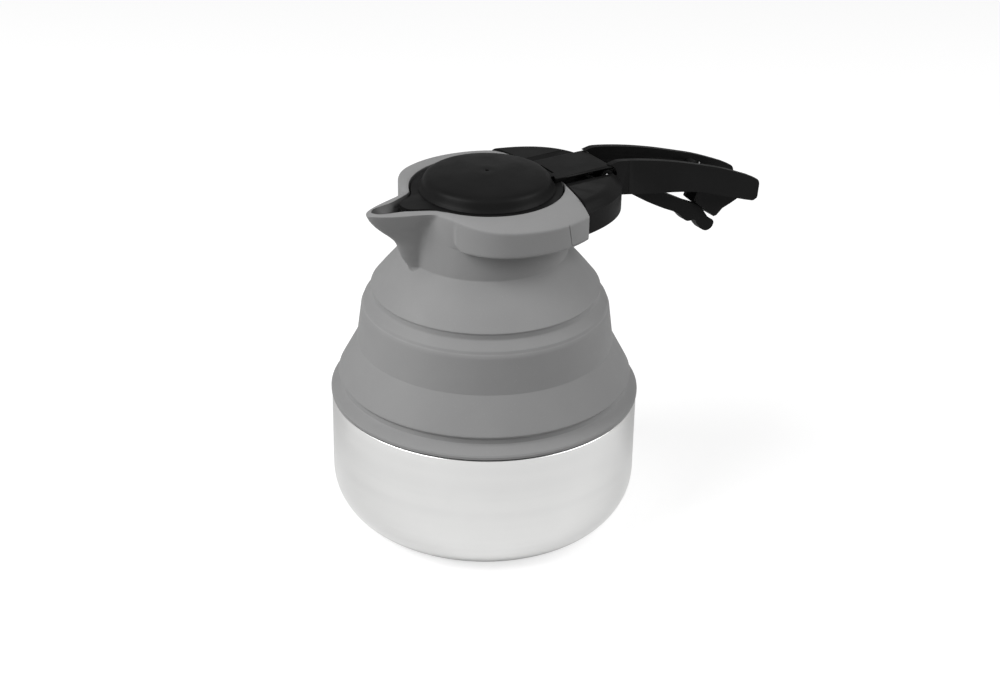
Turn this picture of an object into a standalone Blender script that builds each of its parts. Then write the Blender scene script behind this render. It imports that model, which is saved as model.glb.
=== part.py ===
"""Collapsible kettle: steel pot, folding silicone body, black hinged lid and a two-arm handle with a trigger.

Metres, +Z up. The origin is the centre of the pot's base. +X points to the handle, -X to the pouring beak.
"""
import math

import bmesh
import bpy
from mathutils import Matrix, Vector

# Clearances and shared sizes
touch_gap = 0.0003
overrun = 0.002
weld_distance = 0.00001
ring_steps = 44
small_steps = 16
tiny_steps = 10

# Steel pot
pot_radius = 0.0750
pot_height = 0.0664
pot_corner_radius = 0.0245
pot_wall = 0.0008
pot_corner_steps = 6

# Silicone walls, from the rim up
silicone_wall = 0.0020
flange_overhang = 0.0004
flange_lip_height = 0.0013
flange_rise = 0.0028
flange_round = 0.0008
skirt_depth = 0.0084
skirt_wall = 0.0026
skirt_shoulder = 0.0020
clamp_ring_wall = 0.0008
clamp_ring_height = 0.0066
groove_radius = 0.0707
groove_height = 0.0061
hem_radius = 0.07135
hem_round = 0.0012
cone_top_radius = 0.0629
cone_height = 0.0168
tier_bottom_radius = 0.0620
tier_top_radius = 0.0599
tier_height = 0.0183
tier_foot_height = 0.0013
shoulder_height = 0.0085
shoulder_radius = 0.0580
notch_radius = 0.0553
dome_radius = 0.0556
dome_height = 0.0197
dome_lip_height = 0.0008
dome_split_share = 0.74
dome_bulge = 0.0004
dome_steps = 5

# Neck, cuff and beak
neck_radius = 0.0393
throat_radius = 0.0350
neck_height = 0.0156
cuff_radius = 0.0514
cuff_offset = 0.0057
cuff_height = 0.0130
cuff_round = 0.0009
cuff_fade_start = math.radians(17.0)
cuff_fade_end = math.radians(62.0)
collar_crown = 0.0030
lid_seat_radius = 0.0367
lid_seat_depth = 0.0044
rim_round = 0.0011
beak_reach = 0.0649
beak_lip_wall = 0.0029
beak_half_width = 0.0120
beak_channel_half_width = 0.0096
beak_rise = 0.0004

# Yoke inside the cuff
yoke_height = 0.0070
yoke_depth = 0.0016
yoke_wall_margin = 0.0030
yoke_opening_angle = math.radians(118.0)
yoke_steps = 26

# Handle mount
mount_face = 0.0339
mount_face_half_width = 0.0150
mount_sweep = math.radians(11.5)
mount_centre = 0.0200
mount_radius = 0.0475
mount_height = 0.0108
mount_round = 0.0016
mount_bottom_gap = 0.0010
channel_clearance = 0.0004
channel_floor_drop = 0.0052
hub_pocket_drop = 0.0115
hub_pocket_start = 0.0540
tail_slot_half_width = 0.0046

# Hinge pin
pin_x = 0.0605
pin_drop = 0.0031
pin_radius = 0.0015
pin_play = 0.0003

# Lid
lid_plate_radius = 0.0360
lid_plate_thickness = 0.0031
lid_plate_drop = 0.0010
lid_cover_reach = 0.0455
lid_cover_half_width = 0.0039
lid_cover_angle = math.radians(14.0)
spigot_radius = 0.0330
spigot_wall = 0.0020
spigot_depth = 0.0060
gasket_wall = 0.0011
gasket_height = 0.0040
cap_radius = 0.0326
cap_side_height = 0.0038
cap_edge_radius = 0.0300
cap_height = 0.0085
cap_wall = 0.0018
steam_hole_radius = 0.0009

# Bridge and its tail
bridge_thickness = 0.0022
bridge_slot_half_width = 0.0056
bridge_slot_width = 0.0012
bridge_slot_depth = 0.0010
bridge_end = 0.0015
tongue_half_width = 0.0090
tongue_start = 0.0215
barrel_radius = 0.0037
tail_half_width = 0.0035
tail_radius = 0.0014
tail_length = 0.0085
tail_angle = math.radians(-40.0)

# Arms
arm_gap_half_width = 0.0092
arm_side_play = 0.0005
arm_thickness = 0.0031
arm_reach = 0.0957
arm_root_rise = 0.0063
arm_tip_drop = 0.0322
arm_lug_radius = 0.0034
arm_lug_sweep = math.radians(20.0)
arm_nose_radius = 0.0059
arm_foot_front = 0.0020
blind_wall = 0.0008

# Trigger
trigger_pivot_reach = 0.0155
trigger_pivot_drop = 0.0082
trigger_pin_radius = 0.0015
trigger_hub_radius = 0.0042
trigger_spring_room = 0.0040
trigger_half_width = 0.0050
tab_half_width = 0.0040
trigger_reach = 0.0580
trigger_drop = 0.0380
nose_radius = 0.0013
nose_contact = 0.0050
nose_gap = 0.0005
trigger_spring_wire = 0.00035
trigger_spring_radius = 0.0027
trigger_spring_turns = 3

# Catch
catch_cheek = 0.0028
catch_pivot_reach = 0.0655
catch_pivot_drop = 0.0132
catch_pin_radius = 0.0012
catch_boss_radius = 0.0032
catch_reach = 0.0221
catch_drop = 0.0259
catch_spring_wire = 0.0003
catch_spring_radius = 0.0019
catch_spring_turns = 4
spring_pitch = 0.0009
spring_points = 12

# Screws
screw_head_radius = 0.0023
screw_head_height = 0.0013
screw_shank_radius = 0.0009
mount_screw_radius = 0.0440
mount_screw_angle = math.radians(32.0)
mount_screw_length = 0.0110
arm_screw_length = 0.0060
cap_screw_radius = 0.0240
cap_screw_length = 0.0062
bridge_screw_x = 0.0260
bridge_screw_y = 0.0055
bridge_screw_length = 0.0053

# Heights worked out from the sizes above
clamp_top = pot_height - touch_gap - skirt_shoulder
flange_bottom = pot_height + touch_gap
flange_top = flange_bottom + flange_lip_height + flange_rise
lower_web_bottom = flange_top + touch_gap
hem_height = lower_web_bottom + groove_height
lower_web_top = hem_height + cone_height
tier_bottom = lower_web_top + touch_gap
tier_top = tier_bottom + tier_height
upper_web_bottom = tier_top + touch_gap
upper_web_top = upper_web_bottom + shoulder_height
dome_bottom = upper_web_top + touch_gap
neck_bottom = dome_bottom + dome_height
dome_split = dome_bottom + dome_height * dome_split_share
collar_bottom = dome_split + touch_gap
cuff_bottom = neck_bottom + neck_height
cuff_edge = cuff_bottom + cuff_height
collar_top = cuff_edge + collar_crown
lid_seat = collar_top - lid_seat_depth
lid_plate_top = collar_top - lid_plate_drop
lid_plate_bottom = lid_plate_top - lid_plate_thickness
bridge_bottom = lid_plate_top + touch_gap
bridge_top = bridge_bottom + bridge_thickness
pin_z = bridge_bottom - pin_drop
trigger_x = pin_x + trigger_pivot_reach
trigger_z = pin_z - trigger_pivot_drop
catch_x = pin_x + catch_pivot_reach
catch_z = pin_z - catch_pivot_drop
arm_outer = arm_gap_half_width + arm_thickness
bridge_half_width = arm_outer
channel_half_width = arm_outer + channel_clearance
barrel_half_width = arm_gap_half_width - arm_side_play
catch_half_width = arm_gap_half_width - arm_side_play
trigger_hub_half_width = arm_gap_half_width - trigger_spring_room
mount_bottom = cuff_bottom + mount_bottom_gap
mount_edge = mount_bottom + mount_height
channel_floor = collar_top - channel_floor_drop
hub_pocket_floor = collar_top - hub_pocket_drop
yoke_bottom = cuff_bottom + yoke_depth
yoke_top = yoke_bottom + yoke_height


def collection(name):
    group = bpy.data.collections.new(name)
    bpy.context.scene.collection.children.link(group)
    return group


def material(name, colour, roughness, metallic=0.0):
    made = bpy.data.materials.new(name)
    made.use_nodes = True
    shader = made.node_tree.nodes["Principled BSDF"]
    shader.inputs["Base Color"].default_value = (*colour, 1.0)
    shader.inputs["Roughness"].default_value = roughness
    shader.inputs["Metallic"].default_value = metallic
    return made


def clear_scene():
    for old in list(bpy.data.objects):
        bpy.data.objects.remove(old)


def place(mesh, name, group, finish=None):
    """Put a mesh in a collection as an object, with its own material."""
    made = bpy.data.objects.new(name, mesh)
    group.objects.link(made)
    if finish is not None:
        mesh.materials.append(finish.copy())
        mesh.materials[0].name = name
        mesh.shade_smooth()
        mesh.set_sharp_from_angle(angle=math.radians(35.0))
    return made


def settle(made):
    """Replace an object's curve or live modifiers by the plain mesh they make."""
    view = bpy.context.evaluated_depsgraph_get()
    mesh = bpy.data.meshes.new_from_object(made.evaluated_get(view))
    work = bmesh.new()
    work.from_mesh(mesh)
    bmesh.ops.remove_doubles(work, verts=work.verts, dist=weld_distance)
    bmesh.ops.dissolve_degenerate(work, edges=work.edges, dist=weld_distance)
    bmesh.ops.recalc_face_normals(work, faces=work.faces)
    work.to_mesh(mesh)
    work.free()
    mesh.transform(made.matrix_world)
    name = made.name
    owners = list(made.users_collection)
    bpy.data.objects.remove(made)
    plain = bpy.data.objects.new(name, mesh)
    owners[0].objects.link(plain)
    return plain


def dress(made, finish):
    """Give a settled object its material and smooth shading."""
    made.data.materials.clear()
    made.data.materials.append(finish.copy())
    made.data.materials[0].name = made.name
    made.data.shade_smooth()
    made.data.set_sharp_from_angle(angle=math.radians(35.0))
    return made


def turned(name, profile, group, finish=None, steps=ring_steps):
    """A closed profile of (radius, height) turned about Z; its outer side comes first, top to bottom."""
    work = bmesh.new()
    points = [work.verts.new((radius, 0.0, height)) for radius, height in profile]
    for first, second in zip(points, points[1:] + points[:1]):
        work.edges.new((first, second))
    mesh = bpy.data.meshes.new(name)
    work.to_mesh(mesh)
    work.free()
    made = place(mesh, name, group)
    spin = made.modifiers.new("turn", "SCREW")
    spin.steps = steps
    spin.render_steps = steps
    spin.use_merge_vertices = True
    spin.merge_threshold = weld_distance
    made = settle(made)
    if finish is not None:
        dress(made, finish)
    return made


def slab(name, outline, low, high, group, finish=None, upright=False):
    """An outline extruded from low to high: along Z, or along Y when upright and drawn in X and Z."""
    work = bmesh.new()
    if upright:
        corners = [work.verts.new((across, low, along)) for across, along in outline]
        rise = Vector((0.0, high - low, 0.0))
    else:
        corners = [work.verts.new((across, along, low)) for across, along in outline]
        rise = Vector((0.0, 0.0, high - low))
    bmesh.ops.remove_doubles(work, verts=corners, dist=weld_distance)
    base = work.faces.new(work.verts)
    raised = bmesh.ops.extrude_face_region(work, geom=[base], use_keep_orig=True)
    moved = [item for item in raised["geom"] if isinstance(item, bmesh.types.BMVert)]
    bmesh.ops.translate(work, verts=moved, vec=rise)
    bmesh.ops.recalc_face_normals(work, faces=work.faces)
    mesh = bpy.data.meshes.new(name)
    work.to_mesh(mesh)
    work.free()
    return place(mesh, name, group, finish)


def rod(name, radius, start, end, group, finish=None, steps=small_steps):
    """A round bar from one point to another."""
    axis = Vector(end) - Vector(start)
    turn = axis.to_track_quat("Z", "Y").to_matrix().to_4x4()
    where = Matrix.Translation((Vector(start) + Vector(end)) / 2) @ turn
    work = bmesh.new()
    bmesh.ops.create_cone(work, cap_ends=True, segments=steps, radius1=radius, radius2=radius,
                          depth=axis.length, matrix=where)
    mesh = bpy.data.meshes.new(name)
    work.to_mesh(mesh)
    work.free()
    return place(mesh, name, group, finish)


def block(name, corner, opposite, group, finish=None):
    """A box between two opposite corners."""
    low = Vector(corner)
    high = Vector(opposite)
    size = Matrix.Diagonal((*(high - low), 1.0))
    work = bmesh.new()
    bmesh.ops.create_cube(work, size=1.0, matrix=Matrix.Translation((low + high) / 2) @ size)
    mesh = bpy.data.meshes.new(name)
    work.to_mesh(mesh)
    work.free()
    return place(mesh, name, group, finish)


def combine(made, tool, operation):
    """Cut, join or keep the overlap of two meshes; the tool stays behind as a hidden cutter."""
    step = made.modifiers.new(operation.lower(), "BOOLEAN")
    step.operation = operation
    step.object = tool
    step.solver = "EXACT"
    tool.hide_render = True
    tool.display_type = "WIRE"


def capsule(start, end, radius, steps):
    """A flat outline with round ends about two points."""
    lean = math.atan2(end[1] - start[1], end[0] - start[0])
    half = math.pi / 2
    return (arc(end, radius, lean - half, lean + half, steps)
            + arc(start, radius, lean + half, lean + half * 3, steps))


def shaped(shares, x, z, reach, drop):
    """An outline in shares of a reach to the rear and a drop below a pivot."""
    return [(x + reach * along, z - drop * down) for along, down in shares]


def arc(centre, radius, start, end, steps):
    """Points on an arc, angles in radians."""
    turn = (end - start) / steps
    return [(centre[0] + radius * math.cos(start + turn * step),
             centre[1] + radius * math.sin(start + turn * step)) for step in range(steps + 1)]


def inward(profile, wall):
    """The same radii less a wall, in reverse order, so that an outer side becomes an inner one."""
    return [(radius - wall, height) for radius, height in reversed(profile)]


def smooth(share):
    share = min(max(share, 0.0), 1.0)
    return share * share * (3 - 2 * share)


def make_pot(group, steel):
    corner = (pot_radius - pot_corner_radius, pot_corner_radius)
    outer = [(pot_radius, pot_height)]
    outer += arc(corner, pot_corner_radius, 0.0, -math.pi / 2, pot_corner_steps)
    outer += [(0.0, 0.0)]
    inner = [(0.0, pot_wall)]
    inner += arc(corner, pot_corner_radius - pot_wall, -math.pi / 2, 0.0, pot_corner_steps)
    inner += [(pot_radius - pot_wall, pot_height)]
    turned("steel_pot", outer + inner, group, steel)


def make_clamp_ring(group, steel):
    outside = pot_radius - pot_wall - touch_gap - skirt_wall - touch_gap
    low = clamp_top - clamp_ring_height
    ring = [(outside, clamp_top), (outside, low), (outside - clamp_ring_wall, low),
            (outside - clamp_ring_wall, clamp_top)]
    turned("rim_clamp_ring", ring, group, steel)


def make_flange(group, silicone):
    lip = pot_radius + flange_overhang
    skirt = pot_radius - pot_wall - touch_gap
    low = flange_bottom - skirt_depth
    lip_top = flange_bottom + flange_lip_height
    inside = groove_radius - silicone_wall
    profile = [(groove_radius, flange_top),
               (groove_radius + flange_round, flange_top - flange_round),
               (lip - flange_round, lip_top),
               (lip, lip_top - flange_round),
               (lip, flange_bottom),
               (skirt, flange_bottom),
               (skirt, low),
               (skirt - skirt_wall, low),
               (skirt - skirt_wall, clamp_top + touch_gap),
               (inside, clamp_top + skirt_shoulder),
               (inside, flange_top)]
    turned("silicone_flange", profile, group, silicone)


def make_lower_web(group, silicone):
    outer = [(cone_top_radius, lower_web_top),
             (hem_radius, hem_height),
             (groove_radius + hem_round / 4, hem_height - hem_round),
             (groove_radius - hem_round / 6, lower_web_bottom + groove_height / 3),
             (groove_radius, lower_web_bottom)]
    turned("silicone_lower_web", outer + inward(outer, silicone_wall), group, silicone)


def make_tier(group, silicone):
    outer = [(tier_top_radius, tier_top),
             (tier_bottom_radius, tier_bottom + tier_foot_height),
             (cone_top_radius - touch_gap, tier_bottom)]
    turned("silicone_tier", outer + inward(outer, silicone_wall), group, silicone)


def make_upper_web(group, silicone):
    outer = [(notch_radius, upper_web_top),
             (notch_radius + hem_round / 6, upper_web_top - hem_round),
             (notch_radius + hem_round, upper_web_top - shoulder_height / 3),
             (shoulder_radius, upper_web_bottom + shoulder_height / 3),
             (tier_top_radius - hem_round / 2, upper_web_bottom + shoulder_height / 6),
             (tier_top_radius, upper_web_bottom)]
    turned("silicone_upper_web", outer + inward(outer, silicone_wall), group, silicone)


def dome_outline(height):
    """The dome's radius at a height: a slightly bulged cone from its rounded foot to the neck."""
    share = (height - dome_bottom - dome_lip_height) / (dome_height - dome_lip_height)
    share = min(max(share, 0.0), 1.0)
    bulge = dome_bulge * 4 * share * (1 - share)
    return dome_radius + (neck_radius - dome_radius) * share + bulge


def make_dome(group, silicone):
    span = dome_split - dome_bottom - dome_lip_height
    heights = [dome_split - span * step / dome_steps for step in range(dome_steps + 1)]
    outer = [(dome_outline(height), height) for height in heights]
    outer += [(notch_radius, dome_bottom)]
    turned("silicone_dome", outer + inward(outer, silicone_wall), group, silicone)


def cuff_outline(angle):
    """The cuff's radius about the neck, at an angle from the beak: an offset circle that fades to it."""
    turn = math.pi - angle
    across = cuff_offset * math.sin(turn)
    circle = cuff_offset * math.cos(turn) + math.sqrt(cuff_radius ** 2 - across ** 2)
    fade = smooth((angle - cuff_fade_start) / (cuff_fade_end - cuff_fade_start))
    return neck_radius + (circle - neck_radius) * fade


beak_column_shares = (0.0, 0.06, 0.2, 0.42, 0.7, 1.0)
body_column_shares = (0.06, 0.12, 0.18, 0.25, 0.32, 0.4, 0.48, 0.56, 0.64, 0.72, 0.79, 0.86, 0.93, 1.0)


def half_ring(radius_at, body_z, ridge, half_width, beak_z, sharpness):
    """Half of one closed ring of the collar, from the beak's ridge round to the back."""
    crease = radius_at(0.0)
    crease_angle = math.asin(half_width / crease)
    points = []
    for share in beak_column_shares:
        back = ridge + (crease * math.cos(crease_angle) - ridge) * share
        points.append((-back, half_width * share ** sharpness, beak_z))
    for count, share in enumerate(body_column_shares):
        angle = crease_angle + (math.pi - crease_angle) * share
        radius = radius_at(angle)
        height = body_z + (beak_z - body_z) * (0.5 if count == 0 else 0.0)
        points.append((-radius * math.cos(angle), radius * math.sin(angle), height))
    return points


def plain_circle(radius):
    return lambda angle: radius


def cuff_less(inset):
    return lambda angle: max(cuff_outline(angle) - inset, neck_radius + touch_gap)


def crown_line(share):
    """A ring on the collar's sloping top, between the cuff's edge and the lid's seat."""
    inner = lid_seat_radius + rim_round
    return lambda angle: (cuff_outline(angle) - cuff_round) * (1 - share) + inner * share


def collar_levels():
    """The collar's rings, up its outside, over its rim and down its inside."""
    reach = beak_reach - neck_radius
    span = collar_top - neck_bottom
    foot = dome_outline(collar_bottom)
    half = beak_half_width

    def outside(radius_at, body_z, height_share, reach_share, width_share, sharpness=0.6):
        ridge = neck_radius + reach * reach_share
        return (radius_at, body_z, ridge, half * width_share, neck_bottom + span * height_share, sharpness)

    def inside(radius_at, body_z, height_share, reach_share, width_share, radius):
        ridge = radius + (beak_reach - beak_lip_wall - radius) * reach_share
        width = beak_channel_half_width * width_share
        return (radius_at, body_z, ridge, width, neck_bottom + span * height_share, 0.5)

    neck = plain_circle(neck_radius)
    seat = plain_circle(lid_seat_radius)
    throat = plain_circle(throat_radius)
    waist = (collar_bottom + neck_bottom) / 2
    waist_radius = dome_outline(waist)
    levels = [(plain_circle(foot), collar_bottom, foot, half * 0.38, collar_bottom, 0.6),
              (plain_circle(waist_radius), waist, waist_radius + touch_gap, half * 0.38, waist, 0.6),
              outside(neck, neck_bottom, 0.0, 0.15, 0.4),
              outside(neck, neck_bottom + neck_height * 0.3, 0.146, 0.27, 0.45),
              outside(neck, neck_bottom + neck_height * 0.6, 0.29, 0.35, 0.52),
              outside(neck, neck_bottom + neck_height * 0.88, 0.43, 0.395, 0.58),
              outside(neck, cuff_bottom, 0.50, 0.44, 0.63),
              outside(cuff_less(cuff_round), cuff_bottom, 0.55, 0.52, 0.67),
              outside(cuff_less(0.0), cuff_bottom + cuff_round, 0.61, 0.62, 0.71),
              outside(cuff_less(0.0), cuff_edge - cuff_round, 0.82, 0.90, 0.88),
              outside(cuff_less(cuff_round), cuff_edge, 0.91, 0.975, 0.96, 0.5),
              outside(crown_line(0.5), cuff_edge + collar_crown / 2, 0.96, 1.0, 1.0, 0.45),
              outside(crown_line(1.0), collar_top, 1.0, 0.975, 1.0, 0.45),
              inside(seat, collar_top - rim_round / 2, 1.0, 1.0, 1.0, lid_seat_radius),
              inside(seat, collar_top - lid_seat_depth / 2, 0.935, 0.82, 0.94, lid_seat_radius),
              inside(seat, lid_seat, 0.87, 0.56, 0.85, lid_seat_radius),
              inside(throat, lid_seat, 0.80, 0.40, 0.8, throat_radius),
              inside(throat, neck_bottom + span * 0.6, 0.6, 0.17, 0.7, throat_radius),
              inside(throat, neck_bottom + span * 0.25, 0.25, 0.02, 0.6, throat_radius),
              inside(throat, neck_bottom - silicone_wall / 2, -silicone_wall / 2 / span, 0.0, 0.6,
                     throat_radius)]
    last = foot - silicone_wall
    levels.append((plain_circle(last), collar_bottom, last, half * 0.4, collar_bottom, 0.6))
    return levels


def make_collar(group, cutters, silicone):
    work = bmesh.new()
    rings = []
    for level in collar_levels():
        half = half_ring(*level)
        whole = half + [(x, -y, z) for x, y, z in reversed(half[1:-1])]
        rings.append([work.verts.new(point) for point in whole])
    for lower, upper in zip(rings, rings[1:] + rings[:1]):
        count = len(lower)
        for step in range(count):
            following = (step + 1) % count
            work.faces.new((lower[step], lower[following], upper[following], upper[step]))
    bmesh.ops.recalc_face_normals(work, faces=work.faces)
    mesh = bpy.data.meshes.new("silicone_collar")
    work.to_mesh(mesh)
    work.free()
    collar = place(mesh, "silicone_collar", group, silicone)
    slot = yoke_body("yoke_slot", touch_gap, cuff_bottom - overrun, yoke_top + touch_gap, cutters)
    combine(collar, slot, "DIFFERENCE")
    far = mount_centre + mount_radius + overrun
    outline = mount_front(-touch_gap / math.cos(mount_sweep), far) + [(far, far), (far, -far)]
    back = slab("mount_space", outline, cuff_bottom - overrun, collar_top + overrun, cutters)
    wall = neck_radius + touch_gap
    ledge = lid_seat + touch_gap
    profile = [(wall, ledge), (wall, neck_bottom), (0.0, neck_bottom), (0.0, ledge)]
    core = turned("neck_keep", profile, cutters)
    combine(back, core, "DIFFERENCE")
    combine(collar, back, "DIFFERENCE")


def yoke_outline(growth):
    """A horseshoe round the neck, open at the beak, wider at its back, grown by a clearance."""
    inner = neck_radius + touch_gap * 2 - growth
    outer = cuff_radius - yoke_wall_margin + growth
    reach = yoke_opening_angle + growth / inner
    points = []
    for step in range(yoke_steps + 1):
        angle = -reach + 2 * reach * step / yoke_steps
        across = cuff_offset * math.sin(angle)
        radius = cuff_offset * math.cos(angle) + math.sqrt(outer ** 2 - across ** 2)
        points.append((radius * math.cos(angle), radius * math.sin(angle)))
    for step in range(yoke_steps + 1):
        angle = reach - 2 * reach * step / yoke_steps
        points.append((inner * math.cos(angle), inner * math.sin(angle)))
    return points


def yoke_body(name, growth, low, high, group):
    return slab(name, yoke_outline(growth), low, high, group)


def mount_screw_places():
    return [(mount_screw_radius * math.cos(angle), mount_screw_radius * math.sin(angle))
            for angle in (-mount_screw_angle, mount_screw_angle)]


def screw_hole(name, x, y, low, high, group, radius=screw_shank_radius):
    return rod(name, radius + touch_gap, (x, y, low), (x, y, high), group)


def make_yoke(group, cutters, plastic):
    yoke = yoke_body("collar_yoke", 0.0, yoke_bottom, yoke_top, group)
    dress(yoke, plastic)
    for count, (x, y) in enumerate(mount_screw_places()):
        hole = screw_hole(f"yoke_hole_{count}", x, y, yoke_bottom - overrun, yoke_top + overrun, cutters)
        combine(yoke, hole, "DIFFERENCE")
        head = screw_hole(f"yoke_head_{count}", x, y, yoke_bottom - overrun,
                          yoke_bottom + screw_head_height + touch_gap, cutters, screw_head_radius)
        combine(yoke, head, "DIFFERENCE")


def screw_pattern(length, cutters):
    """A pan-head screw, head down, with its head's underside at zero and its shank up."""
    return turned("screw_pattern", [(screw_shank_radius, length), (screw_shank_radius, 0.0),
                                    (screw_head_radius, 0.0), (screw_head_radius, -screw_head_height),
                                    (0.0, -screw_head_height), (0.0, length)], cutters, steps=tiny_steps)


def screws(names, length, places, group, cutters, steel):
    """One screw object for each name and place."""
    pattern = screw_pattern(length, cutters)
    for name, spot in zip(names, places):
        mesh = pattern.data.copy()
        mesh.transform(Matrix.Translation(spot))
        place(mesh, name, group, steel)
    bpy.data.objects.remove(pattern)


def mount_front(shift, side):
    """The crescent's front face seen from above, swept back towards the beak at both sides."""
    half = mount_face_half_width
    swept = mount_face - (side - half) * math.tan(mount_sweep)
    line = [(swept, -side), (mount_face, -half), (mount_face, half), (swept, side)]
    return [(x + shift, y) for x, y in line]


def make_mount(group, cutters, plastic):
    """The crescent: a turned body behind the collar, cut for the neck, yoke, channel, hub and lever."""
    crown = collar_top - mount_edge
    profile = [(0.0, collar_top), (mount_radius / 3, collar_top),
               (mount_radius - mount_round * 3, mount_edge + crown / 4),
               (mount_radius - mount_round / 2, mount_edge),
               (mount_radius, mount_edge - mount_round),
               (mount_radius - mount_round / 2, mount_bottom),
               (0.0, mount_bottom)]
    body = turned("mount_turning", list(profile), group)
    body.data.transform(Matrix.Translation((mount_centre, 0.0, 0.0)))
    body.name = "handle_mount"
    dress(body, plastic)
    far = mount_centre + mount_radius + overrun
    side = mount_radius + overrun
    outline = mount_front(0.0, side) + [(mount_centre - side, side), (mount_centre - side, -side)]
    front = slab("front_cut", outline, mount_bottom - overrun, collar_top + overrun, cutters)
    combine(body, front, "DIFFERENCE")
    rim = lid_seat_radius + touch_gap
    wall = neck_radius + touch_gap * 2
    ledge = lid_seat + touch_gap * 2
    low = mount_bottom - overrun
    high = collar_top + overrun
    neck = turned("mount_neck_cut", [(rim, high), (rim, ledge), (wall, ledge), (wall, low), (0.0, low),
                                     (0.0, high)], cutters)
    combine(body, neck, "DIFFERENCE")
    rebate = yoke_body("mount_yoke_cut", touch_gap, mount_bottom - overrun, yoke_top + touch_gap, cutters)
    combine(body, rebate, "DIFFERENCE")
    channel = block("channel_cut", (0.0, -channel_half_width, channel_floor),
                    (far, channel_half_width, collar_top + overrun), cutters)
    combine(body, channel, "DIFFERENCE")
    pocket = block("hub_cut", (hub_pocket_start, -channel_half_width, hub_pocket_floor),
                   (far, channel_half_width, collar_top + overrun), cutters)
    combine(body, pocket, "DIFFERENCE")
    slot = block("tail_cut", (hub_pocket_start + overrun, -tail_slot_half_width, mount_bottom - overrun),
                 (far, tail_slot_half_width, collar_top + overrun), cutters)
    combine(body, slot, "DIFFERENCE")
    for count, (x, y) in enumerate(mount_screw_places()):
        top = yoke_bottom + screw_head_height + mount_screw_length
        hole = screw_hole(f"mount_hole_{count}", x, y, mount_bottom - overrun, top + touch_gap, cutters)
        combine(body, hole, "DIFFERENCE")
    for count, (x, y) in enumerate(arm_screw_places()):
        hole = screw_hole(f"foot_hole_{count}", x, y, low, hub_pocket_floor + overrun, cutters)
        combine(body, hole, "DIFFERENCE")
        head = screw_hole(f"foot_head_{count}", x, y, mount_bottom - overrun,
                          mount_bottom + screw_head_height + touch_gap, cutters, screw_head_radius)
        combine(body, head, "DIFFERENCE")


def cross_pin(name, radius, x, z, half_length, group, steel=None):
    """A pin across the handle."""
    return rod(name, radius, (x, -half_length, z), (x, half_length, z), group, steel)


def lid_outline():
    """The lid plate seen from above: a circle with a blunt cover that reaches into the beak."""
    start = math.pi - lid_cover_angle
    edge = arc((0.0, 0.0), lid_plate_radius, -start, start, ring_steps)
    root_y = lid_plate_radius * math.sin(lid_cover_angle)
    waist_x = -lid_plate_radius - (lid_cover_reach - lid_plate_radius) * 0.16
    waist_y = lid_cover_half_width + (root_y - lid_cover_half_width) * 0.45
    tip = [(waist_x, waist_y), (-lid_cover_reach, lid_cover_half_width)]
    nose = [(-lid_cover_reach - touch_gap * 2, 0.0)]
    return edge + tip + nose + [(x, -y) for x, y in reversed(tip)]


def cap_screw_places():
    turns = [math.pi * (2 * step + 1) / 3 for step in range(3)]
    low = lid_plate_bottom
    return [(cap_screw_radius * math.cos(turn), cap_screw_radius * math.sin(turn), low) for turn in turns]


def bridge_screw_places():
    return [(bridge_screw_x, sign * bridge_screw_y, lid_plate_bottom - touch_gap) for sign in (-1, 1)]


def make_lid(group, cutters, plastic, rubber, steel):
    plate = slab("lid_plate", lid_outline(), lid_plate_bottom, lid_plate_top, group)
    dress(plate, plastic)
    inner = spigot_radius - spigot_wall
    low = lid_plate_bottom - spigot_depth
    high = lid_plate_bottom + lid_plate_thickness / 2
    ring = [(spigot_radius, high), (spigot_radius, low), (inner, low), (inner, high)]
    spigot = turned("spigot", ring, cutters)
    combine(plate, spigot, "UNION")
    high = lid_plate_top + overrun
    vent = rod("vent_cut", cap_screw_radius / 4, (0.0, 0.0, low), (0.0, 0.0, high), cutters)
    combine(plate, vent, "DIFFERENCE")
    for count, (x, y, z) in enumerate(cap_screw_places()):
        combine(plate, screw_hole(f"cap_hole_{count}", x, y, low, high, cutters), "DIFFERENCE")
    for count, (x, y, z) in enumerate(bridge_screw_places()):
        combine(plate, screw_hole(f"bridge_pass_{count}", x, y, low, high, cutters), "DIFFERENCE")
    outside = spigot_radius + touch_gap
    top = lid_plate_bottom - touch_gap
    ring = [(outside + gasket_wall, top), (outside + gasket_wall, top - gasket_height),
            (outside, top - gasket_height), (outside, top)]
    turned("lid_gasket", ring, group, rubber)
    make_cap(group, cutters, plastic)
    spots = [(x, y, z - touch_gap) for x, y, z in cap_screw_places()]
    names = ("cap_screw_left", "cap_screw_front", "cap_screw_right")
    screws(names, cap_screw_length, spots, group, cutters, steel)
    names = ("bridge_screw_right", "bridge_screw_left")
    screws(names, bridge_screw_length, bridge_screw_places(), group, cutters, steel)


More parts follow.
